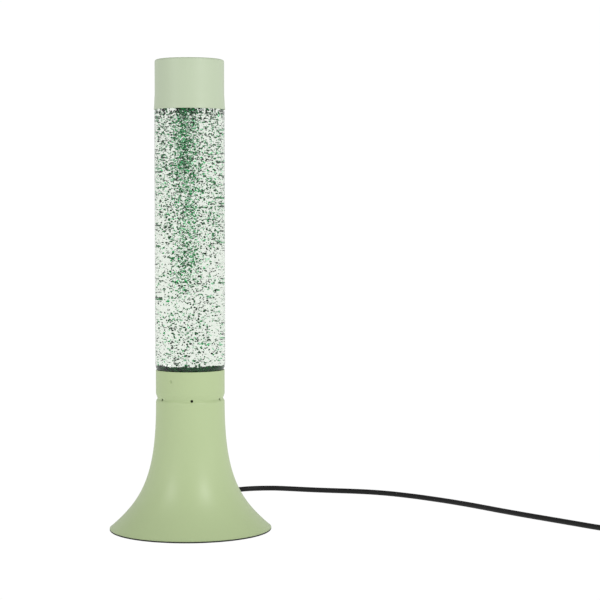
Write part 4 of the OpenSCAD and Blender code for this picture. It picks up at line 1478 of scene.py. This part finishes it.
@dataclass
class Bulb:
    """The reflector bulb: a frosted face, a mirrored cone, a rolled screw cap and what is inside."""

    tip_z: float = from_cad("bulb_tip_contact", LOW)
    top_z: float = from_cad("bulb_glass", HIGH)
    head_r: float = 19.5
    cap_r: float = 6.9
    thread_pitch: float = 2.82
    thread_depth: float = 0.35
    glass: float = 0.8
    # Heights above the tip: the glass's and the screw cap's lower edges, and the screw cap's upper one
    glass_from: float = 20.6
    cap_from: float = 3.6
    cap_to: float = 20.5

    def build(self) -> None:
        """Makes the glass and the screw cap, and dresses the small parts."""
        place(self.envelope(), Body.BULB, "bulb_glass", ("bulb_glass",))
        place(self.screw_cap(), Body.BULB, "bulb_cap_metal", ("bulb_cap",))
        dress("bulb_insulator", BLACK_GLASS)
        dress("bulb_tip_contact", SOLDER)
        dress("bulb_stem", STEM_GLASS)
        dress("bulb_filament", TUNGSTEN)

    def skin(self, depth: float) -> list[Point2]:
        """The envelope's outline at a depth of skin, from the neck up to the crown.

        Args:
            depth: How far inside the outer skin it runs, in millimetres.

        Returns:
            Its points.
        """
        neck, low, wide = self.cap_r + 0.5, self.tip_z + self.glass_from, self.top_z - 14
        points = [(neck - depth, low + depth), (neck - depth, low + 4), (neck + 1.6 - depth, low + 9)]
        for centre_r, centre_z, radius, start, end, steps in (
            (self.head_r - 13, wide, 13.0, -50, 0, 12),
            (self.head_r - 3, wide + 3, 3.0, 0, 50, 6),
        ):
            for k in range(steps + 1):
                a = math.radians(start + (end - start) * k / steps)
                r = radius - depth
                points.append((centre_r + r * math.cos(a), centre_z + r * math.sin(a)))
        sphere = 24.0
        crown = math.asin((self.head_r - 1.5) / sphere)
        for k in range(13):
            a = crown * (1 - k / 12)
            points.append(((sphere - depth) * math.sin(a), self.top_z - sphere + (sphere - depth) * math.cos(a)))
        return points

    def envelope(self) -> bpy.types.Object:
        """Makes the blown glass, mirrored up to its widest line and frosted above it.

        Returns:
            The glass, in two finishes.
        """
        low = self.tip_z + self.glass_from
        outline = [(0.0, low), *self.skin(0.0)[:-1], (0.0, self.top_z), (0.0, self.top_z - self.glass)]
        outline += [*reversed(self.skin(self.glass)[:-1]), (0.0, low + self.glass)]
        bulb = lathe("bulb_envelope", outline, MIRROR_CONE, 128)
        bulb.data.materials.append(FROSTED_FACE.make())
        edge = (self.top_z - 13) * MM
        for face in bulb.data.polygons:
            face.material_index = int(face.center.z > edge)
        return bulb

    def screw_cap(self) -> bpy.types.Object:
        """Makes the brass screw cap with its rolled thread.

        Returns:
            The screw cap.
        """
        low, high, hole = self.tip_z + self.cap_from, self.tip_z + self.cap_to, 3.4
        thread_length, step = 15.0, 0.25
        side = [(self.cap_r, low + 0.6 + step * k) for k in range(round(thread_length / step))]
        outline = [
            (hole, low),
            (self.cap_r - 0.5, low),
            *side,
            (self.cap_r, self.tip_z + 18.9),
            (self.cap_r + 0.4, high),
            (self.cap_r - 0.4, high),
            (self.cap_r - 0.8, self.tip_z + 18),
            (self.cap_r - 0.8, low + 1),
            (hole, low + 1),
        ]

        def thread(radius: float, height: float, angle: float) -> Point3:
            """Rolls the thread into the cap's side.

            Args:
                radius: The point's radius.
                height: The point's height.
                angle: The point's angle round the axis, in radians.

            Returns:
                The moved point, in the same terms.
            """
            if abs(radius - self.cap_r) > 0.01 or height > self.tip_z + 18:
                return radius, height, angle
            wave = 0.5 - 0.5 * math.cos(math.tau * height / self.thread_pitch - angle)
            return radius - self.thread_depth * wave, height, angle

        return lathe("screw_cap", outline, NICKEL, 96, 50, thread)


@dataclass
class Bottle:
    """The glass bottle with its liquid, its crimped closure and the seal under it."""

    bottle_r: float = 29.6
    spigot_r: float = 27.5
    glass: float = 2.5
    seat_z: float = from_cad("glass_bottle", LOW)
    mouth_z: float = from_cad("glass_bottle", HIGH)
    fill_z: float = from_cad("fluid", HIGH)
    lip_z: float = from_cad("base_shell", HIGH)
    turn_r: float = 14.0
    spigot_hide: float = 1.2
    foot_corner: float = 2.0
    shoulder_z: float = 352.1
    shoulder_r: float = 8.0
    shoulder_angle: float = 70.0
    mouth_r: float = 13.0
    mouth_h: float = 14.0
    floor: float = 4.0
    seam_gap: float = 0.05

    def build(self) -> None:
        """Makes the glass, the liquid and the closure, and dresses the seal."""
        place(self.glass_body(), Body.BOTTLE, "bottle_glass", ("glass_bottle",))
        place(self.liquid(), Body.BOTTLE, "liquid", ("fluid",))
        place(self.closure(), Body.BOTTLE, "closure_metal", ("bottle_closure",))
        dress("closure_seal", SILICONE)

    @property
    def turn_angle(self) -> float:
        """How far the glass turns in above the lip, in radians."""
        return math.acos(1 - (self.bottle_r - self.spigot_r) / self.turn_r)

    @property
    def turn_z(self) -> float:
        """The height where the glass starts to turn in."""
        return self.lip_z - self.spigot_hide + self.turn_r * math.sin(self.turn_angle)

    def skin(self, depth: float, base: float) -> list[Point2]:
        """The bottle's outline at a depth of glass, from its foot up to its mouth.

        Args:
            depth: How far inside the outer skin it runs, in millimetres.
            base: The height of its lowest point.

        Returns:
            Its points.
        """
        points: list[Point2] = []

        def arc(centre_r: float, centre_z: float, radius: float, start: float, end: float, steps: int) -> None:
            """Adds an arc to the outline, its angles in degrees.

            Args:
                centre_r: The centre's radius from the axis.
                centre_z: The centre's height.
                radius: The arc's radius.
                start: Where it starts, in degrees.
                end: Where it ends, in degrees.
                steps: How many steps it has.
            """
            for k in range(steps + 1):
                a = math.radians(start + (end - start) * k / steps)
                points.append((centre_r + radius * math.cos(a), centre_z + radius * math.sin(a)))

        corner = self.foot_corner
        arc(self.spigot_r - corner - depth, base + corner, corner, 270, 360, 8)
        bend = self.turn_r - depth
        arc(self.bottle_r - self.turn_r, self.turn_z, bend, -math.degrees(self.turn_angle), 0, 12)
        arc(self.bottle_r - self.shoulder_r, self.shoulder_z, self.shoulder_r - depth, 0, self.shoulder_angle, 14)
        neck = self.mouth_r - depth
        low = self.mouth_z - self.mouth_h
        start = Vector(points[-1])
        first = Vector((neck + 1.2, low - 0.4 * depth))
        if depth:
            share = (self.fill_z - start.y) / (first.y - start.y)
            points.append(tuple(start.lerp(first, share)))
        points += [tuple(first), (neck + 0.35, low + 0.8), (neck, low + 1.9)]
        return points

    def glass_body(self) -> bpy.types.Object:
        """Makes the blown glass. Where liquid wets it inside, light bends less than where it meets air.

        Returns:
            The glass, in two finishes.
        """
        mouth = self.mouth_z
        lip = rounded(
            [(self.mouth_r, mouth - 3), (self.mouth_r, mouth, 0.7), (self.mouth_r - self.glass, mouth, 0.7),
             (self.mouth_r - self.glass, mouth - 3)], closed=False
        )
        base = self.seat_z + self.floor
        inner = reversed(self.skin(self.glass, base))
        outline = [(0.0, self.seat_z), *self.skin(0.0, self.seat_z), *lip, *inner, (0.0, base)]
        glass = lathe("bottle_glass_body", outline, BOTTLE_GLASS, 256, 50)
        glass.data.materials.append(WETTED_GLASS.make())
        for face in glass.data.polygons:
            spot = face.center / MM
            inside = math.hypot(spot.x, spot.y) < self.radius_at(spot.z) - self.glass / 2
            face.material_index = int(inside and base - 0.1 < spot.z < self.fill_z)
        return glass

    def radius_at(self, height: float) -> float:
        """The bottle's outer radius at a height below its neck.

        Args:
            height: The height in millimetres.

        Returns:
            The radius in millimetres.
        """
        if height < self.lip_z - self.spigot_hide:
            return self.spigot_r
        if height < self.turn_z:
            down = self.turn_z - height
            return self.bottle_r - self.turn_r + math.sqrt(max(0.0, self.turn_r**2 - down**2))
        if height < self.shoulder_z:
            return self.bottle_r
        rise = min(height - self.shoulder_z, self.shoulder_r * 0.99)
        return self.bottle_r - self.shoulder_r + math.sqrt(self.shoulder_r**2 - rise**2)

    def liquid(self) -> bpy.types.Object:
        """Makes the liquid, which fills the bottle to just above its shoulder and has a bent-up edge.

        Returns:
            The liquid, in two finishes.
        """
        depth = self.glass + self.seam_gap
        base = self.seat_z + self.floor + self.seam_gap
        side = [p for p in self.skin(depth, base) if p[1] < self.fill_z - 0.01]
        edge = side[-1][0] - 6.2
        outline = [(0.0, base), *side, (edge, self.fill_z), (edge - 0.8, self.fill_z - 0.35), (0.0, self.fill_z - 0.5)]
        liquid = lathe("clear_liquid_body", outline, LIQUID_SIDE, 192, 50)
        liquid.data.materials.append(LIQUID_TOP.make())
        for face in liquid.data.polygons:
            face.material_index = int(face.normal.z > 0.5 and face.center.z > (self.fill_z - 2) * MM)
        return liquid

    def closure(self) -> bpy.types.Object:
        """Makes the spun aluminium closure, with a crimped and finely knurled skirt.

        Returns:
            The closure.
        """
        mouth, out = self.mouth_r + 0.1, self.mouth_r + 0.9
        low, top = self.mouth_z - 8, self.mouth_z + 2
        side = rounded(
            [(mouth, low, 0.1), (out, low, 0.35), (out, low + 1.6, 0.2), (out - 0.35, low + 2.1, 0.3),
             (out - 0.35, low + 2.9, 0.3), (out, low + 3.4, 0.2)], closed=False
        )
        knurl = [(out, low + 3.8 + 0.35 * k) for k in range(12)]
        dome = [(out, top - 1.6), (out, top, 0.9), (out - 2.2, top, 0.3), (out - 2.9, top - 0.3, 0.3), (0, top - 0.3)]
        crown = rounded(dome, closed=False)
        under = [(0.0, top - 0.75), (mouth, top - 0.75)]

        def ribs(radius: float, height: float, angle: float) -> Point3:
            """Presses the knurl into the skirt's upper half.

            Args:
                radius: The point's radius.
                height: The point's height.
                angle: The point's angle round the axis, in radians.

            Returns:
                The moved point, in the same terms.
            """
            if radius < out - 0.01 or not low + 3.7 < height < top - 1.7:
                return radius, height, angle
            return radius - 0.22 * (0.5 + 0.5 * math.cos(60 * angle)), height, angle

        return lathe("crimped_closure", [*side, *knurl, *crown, *under], ALUMINIUM, 360, 40, ribs)


CENTRE: Point2 = (0.0, 0.0)
# The spread of a cloud that fills the bottle evenly
EVERYWHERE: Point2 = (math.inf, math.inf)


@dataclass(frozen=True)
class Cloud:
    """A drift of flakes in the liquid: how many, where its middle is and how far it spreads, in millimetres."""

    count: int
    middle: Point2
    spread: Point2
    low: float
    high: float
    # Above 1 the flakes gather towards the top, below 1 towards the bottom
    rise: float = 1.0
    # The shares of flakes in pale mint, painted highlights, and in mid green, painted lit; the rest are deep green,
    # painted shade
    painted_highlight: float = 0.14
    green: float = 0.22


@dataclass
class Glitter:
    """The loose flakes: drifting in clouds, floating at the shoulder, and settled in a bank on the floor."""

    glass: float = 2.5
    # A flake's least radius in millimetres, how much more the largest has, and how thick the film is
    flake_r: float = 0.43
    flake_more: float = 0.5
    thickness: float = 0.05
    bank_front: float = 140.6
    bank_behind: float = 134.0
    bank_middle: float = 132.0
    core_r: float = 27.0
    # How many loose flakes lie against the wall, and how many over the top
    on_wall: int = 1500
    on_top: int = 1400
    clouds: tuple[Cloud, ...] = (
        Cloud(4500, CENTRE, EVERYWHERE, 138, 359, 1.0),
        Cloud(1750, CENTRE, EVERYWHERE, 190, 359, 1.2),
        Cloud(300, CENTRE, EVERYWHERE, 142, 185, 1.0),
        Cloud(2250, (-2.0, -6.0), (5.0, 8.0), 200, 354, 1.25, 0.18, 0.5),
        Cloud(700, (-4.0, -6.0), (5.0, 8.0), 300, 356, 1.0, 0.14, 0.5),
        Cloud(520, (15.0, 2.0), (4.5, 8.0), 240, 354, 1.1, 0.26, 0.38),
        Cloud(450, (-19.0, 0.0), (4.0, 8.0), 250, 354, 1.2, 0.26, 0.38),
        Cloud(420, CENTRE, EVERYWHERE, 346, 359, 2.0, 0.1, 0.3),
    )
    seed: int = 11

    def build(self, bottle: Bottle) -> None:
        """Makes the drifting flakes in three painted tones of light and shade, and the settled bank.

        Args:
            bottle: The bottle that they are in, which gives the wall they stay inside.
        """
        chance = random.Random(self.seed)
        groups: dict[str, list[tuple[Point3, float, Vector]]] = {"dark": [], "green": [], "painted_highlight": []}
        for cloud in self.clouds:
            for _ in range(cloud.count):
                spot = self.spot_in(cloud, bottle, chance)
                size = self.flake_r + self.flake_more * chance.random() ** 2
                way = Vector((chance.gauss(0, 1), chance.gauss(0, 1), chance.gauss(0, 1))).normalized()
                tone = chance.random()
                kind = "painted_highlight" if tone < cloud.painted_highlight else "green" if tone < cloud.painted_highlight + cloud.green else "dark"
                groups[kind].append((spot, size, way))
        # Painted shade, painted lit green and painted highlight: three tones of one film
        for name, finish in (("dark", SHADED_FLAKE), ("green", GREEN_FLAKE), ("painted_highlight", HIGHLIGHT_FLAKE)):
            flakes = self.flakes(f"glitter_{name}", groups[name], finish, chance)
            place(flakes, Body.BOTTLE, "glitter", ("glitter_flakes",))
        place(self.bank(bottle, chance), Body.BOTTLE, "glitter", ("glitter_flakes",))

    def spot_in(self, cloud: Cloud, bottle: Bottle, chance: random.Random) -> Point3:
        """Picks a place in a cloud that is inside the bottle.

        Args:
            cloud: The cloud.
            bottle: The bottle whose wall it stays inside.
            chance: The source of each draw.

        Returns:
            The place of a flake's middle.
        """
        while True:
            z = cloud.low + (cloud.high - cloud.low) * chance.random() ** (1 / cloud.rise)
            if cloud.spread == EVERYWHERE:
                x, y = (chance.uniform(-self.core_r, self.core_r) for _ in range(2))
            else:
                x, y = (chance.gauss(m, s) for m, s in zip(cloud.middle, cloud.spread))
            if math.hypot(x, y) < bottle.radius_at(z + 0.9) - self.glass - 0.9:
                return x, y, z

    def flakes(
        self,
        name: str,
        places: Sequence[tuple[Point3, float, Vector]],
        finish: GlitterFilm,
        chance: random.Random,
    ) -> bpy.types.Object:
        """Makes thin six-sided flakes.

        Args:
            name: The piece's name.
            places: Each flake's middle, its radius and the way that it faces.
            finish: The film that they are cut from.
            chance: The source of each flake's turn and tone.

        Returns:
            One object that holds all of them.
        """
        vertices: list[Sequence[float]] = []
        faces: list[list[int]] = []
        tones: list[float] = []
        for middle, size, way in places:
            side = way.orthogonal().normalized()
            ahead = way.cross(side)
            start, first = chance.uniform(0, math.pi / 3), len(vertices)
            for lift in (-0.5, 0.5):
                for k in range(6):
                    a = start + math.pi / 3 * k
                    spot = Vector(middle) + size * (math.cos(a) * side + math.sin(a) * ahead)
                    vertices.append(spot + lift * self.thickness * way)
            faces.append([first + k for k in range(5, -1, -1)])
            faces.append([first + 6 + k for k in range(6)])
            faces += [[first + k, first + (k + 1) % 6, first + 6 + (k + 1) % 6, first + 6 + k] for k in range(6)]
            tones += [chance.random()] * 8
        piece = mesh_piece(name, vertices, faces, finish, 20)
        tone = piece.data.attributes.new("flake_tone", "FLOAT", "FACE")
        tone.data.foreach_set("value", tones)
        return piece

    def bank_height(self, angle: float) -> float:
        """How high the settled flakes lie against the wall, round from the right.

        Args:
            angle: The angle round the axis, in radians.

        Returns:
            The height in millimetres.
        """
        front = 0.5 - 0.5 * math.sin(angle)
        ease = min(1.0, max(0.0, (front - 0.1) / 0.45))
        ease = ease * ease * (3 - 2 * ease)
        return self.bank_behind + (self.bank_front - self.bank_behind) * ease + 0.25 * math.sin(7 * angle + 1)

    def bank(self, bottle: Bottle, chance: random.Random) -> bpy.types.Object:
        """Makes the settled bank: a packed core with flakes lying against the wall and over its top.

        Args:
            bottle: The bottle that it lies in.
            chance: The source of each draw.

        Returns:
            The bank as one piece.
        """

        floor = bottle.seat_z + bottle.floor + 0.3

        def wall(height: float) -> float:
            """The radius just inside the glass at a height."""
            return bottle.radius_at(height) - self.glass - 0.25

        levels = 10

        def settle(radius: float, height: float, angle: float) -> Point3:
            """Lifts the core's side to the bank's height, and slopes its top down to the middle.

            Args:
                radius: The point's radius.
                height: The number of its level, from 0 at the floor.
                angle: The point's angle round the axis, in radians.

            Returns:
                Its new radius and height, and its angle.
            """
            top = self.bank_height(angle) - 0.5
            if height <= levels:
                z = floor + (top - floor) * height / levels
                return (min(radius, wall(z)) if height else radius), z, angle
            fall = 1 - radius / self.core_r
            lump = 0.3 * math.sin(radius * 0.9 + 3 * angle) * min(1.0, radius / 6)
            return radius, top + (self.bank_middle - top) * fall * fall * (3 - 2 * fall) + lump, angle

        side = [(wall(floor) - 2.0, 0.0), *[(self.core_r, float(k)) for k in range(1, levels + 1)]]
        over = [(25.0 - 2.5 * k, levels + 1.0) for k in range(10)]
        # The core and the flakes on it are deep green: the film darkened as painted shade of the heap's side
        core = lathe("glitter_settled", [(0.0, 0.0), *side, *over, (0.0, levels + 2.0)], SETTLED_FLAKE, 96, 60, settle)
        for vertex in core.data.vertices:
            if math.hypot(vertex.co.x, vertex.co.y) < 1e-7:
                vertex.co.z = (floor if vertex.co.z < 0.001 else self.bank_middle) * MM
        tone = core.data.attributes.new("flake_tone", "FLOAT", "FACE")
        tone.data.foreach_set("value", [chance.random() * 0.3 for _ in core.data.polygons])
        places = []
        for _ in range(self.on_wall):
            angle = chance.uniform(0, math.tau)
            z = chance.uniform(129.0, self.bank_height(angle) - 0.2 * chance.random())
            r, across, ahead = wall(z) + 0.1, math.cos(angle), math.sin(angle)
            way = Vector((across + chance.gauss(0, 0.12), ahead + chance.gauss(0, 0.12), chance.gauss(0, 0.1)))
            places.append(((r * across, r * ahead, z), chance.uniform(0.5, 0.8), way.normalized()))
        for _ in range(self.on_top):
            angle, r = chance.uniform(0, math.tau), 25.6 * math.sqrt(chance.random())
            _, z, _ = settle(r, levels + 1.0, angle)
            way = Vector((chance.gauss(0, 0.35), chance.gauss(0, 0.35), 1.0)).normalized()
            places.append(((r * math.cos(angle), r * math.sin(angle), z + 0.3), chance.uniform(0.5, 0.8), way))
        return join("glitter_settled", core, self.flakes("settled_loose", places, SETTLED_FLAKE, chance))


@dataclass
class Cap:
    """The powder-coated top cap with the moulded ring that centres it on the bottle's closure."""

    outer_r: float = 29.2
    wall: float = 0.7
    hem_z: float = from_cad("top_cap", LOW)
    top_z: float = from_cad("top_cap", HIGH)
    edge_r: float = 1.8
    flare: float = 0.8
    flare_height: float = 13.0

    def build(self) -> None:
        """Makes the spun cap and its centring ring."""
        place(self.shell(), Body.CAP, "cap_paint", ("top_cap",))
        dress("cap_insert", NYLON)

    def side(self, radius: float) -> list[Point2]:
        """The cap's side from its flared hem up, at a radius.

        Args:
            radius: The radius of its straight part.

        Returns:
            Its points.
        """
        steps = ((0.02, 1.0), (0.3, 0.55), (0.65, 0.35), (1.0, 0.0))
        points = []
        for k in range(27):
            t = 0.02 + 0.98 * k / 26
            for (t1, f1), (t2, f2) in zip(steps, steps[1:]):
                if t1 <= t <= t2 + 1e-9:
                    out = f1 + (f2 - f1) * (t - t1) / (t2 - t1)
                    break
            points.append((radius + self.flare * out, self.hem_z + self.flare_height * t))
        return points

    def shell(self) -> bpy.types.Object:
        """Makes the shell: a hem with a rolled lip, a straight side and a rounded top edge.

        Returns:
            The cap.
        """
        inside = self.outer_r - self.wall
        lip = rounded(
            [(inside + self.flare, self.hem_z + 0.3), (inside + self.flare, self.hem_z, 0.12),
             (self.outer_r + self.flare, self.hem_z, 0.3), (self.outer_r + self.flare, self.hem_z + 0.5)], closed=False
        )
        top, r, e = self.top_z, self.outer_r, self.edge_r

        def corner(radius: float) -> list[Point2]:
            """The rounded top edge, from the side to the top.

            Args:
                radius: The corner's radius.

            Returns:
                Its points.
            """
            return [
                (r - e + radius * math.cos(math.radians(a)), top - e + radius * math.sin(math.radians(a)))
                for a in range(0, 91, 10)
            ]

        over = [(r - e - 1.0, top), (18.0, top), (8.0, top), (0.0, top)]
        under = [(0.0, top - self.wall), (8.0, top - self.wall), (18.0, top - self.wall)]
        outline = [*lip[1:], *self.side(r)[1:], *corner(e), *over, *under, *reversed(corner(e - self.wall)),
                   *reversed(self.side(inside)[1:])]
        # The cap's coat is the base's, painted paler and cooler as painted light
        return lathe("top_cap_coated", outline, CAP_COAT, 256, 40)


def main() -> None:
    """Builds the whole scene."""
    logging.basicConfig(level=logging.INFO, format="%(message)s")
    Studio().build()
    switch_pieces = CordSwitch().build()
    relief = Wiring().build()
    plug_pieces = Plug().build()
    MainsLead().build(plug_pieces, [*relief, *switch_pieces])
    Base().build()
    Bulb().build()
    bottle = Bottle()
    bottle.build()
    Glitter().build(bottle)
    Cap().build()


if __name__ == "__main__":
    main()
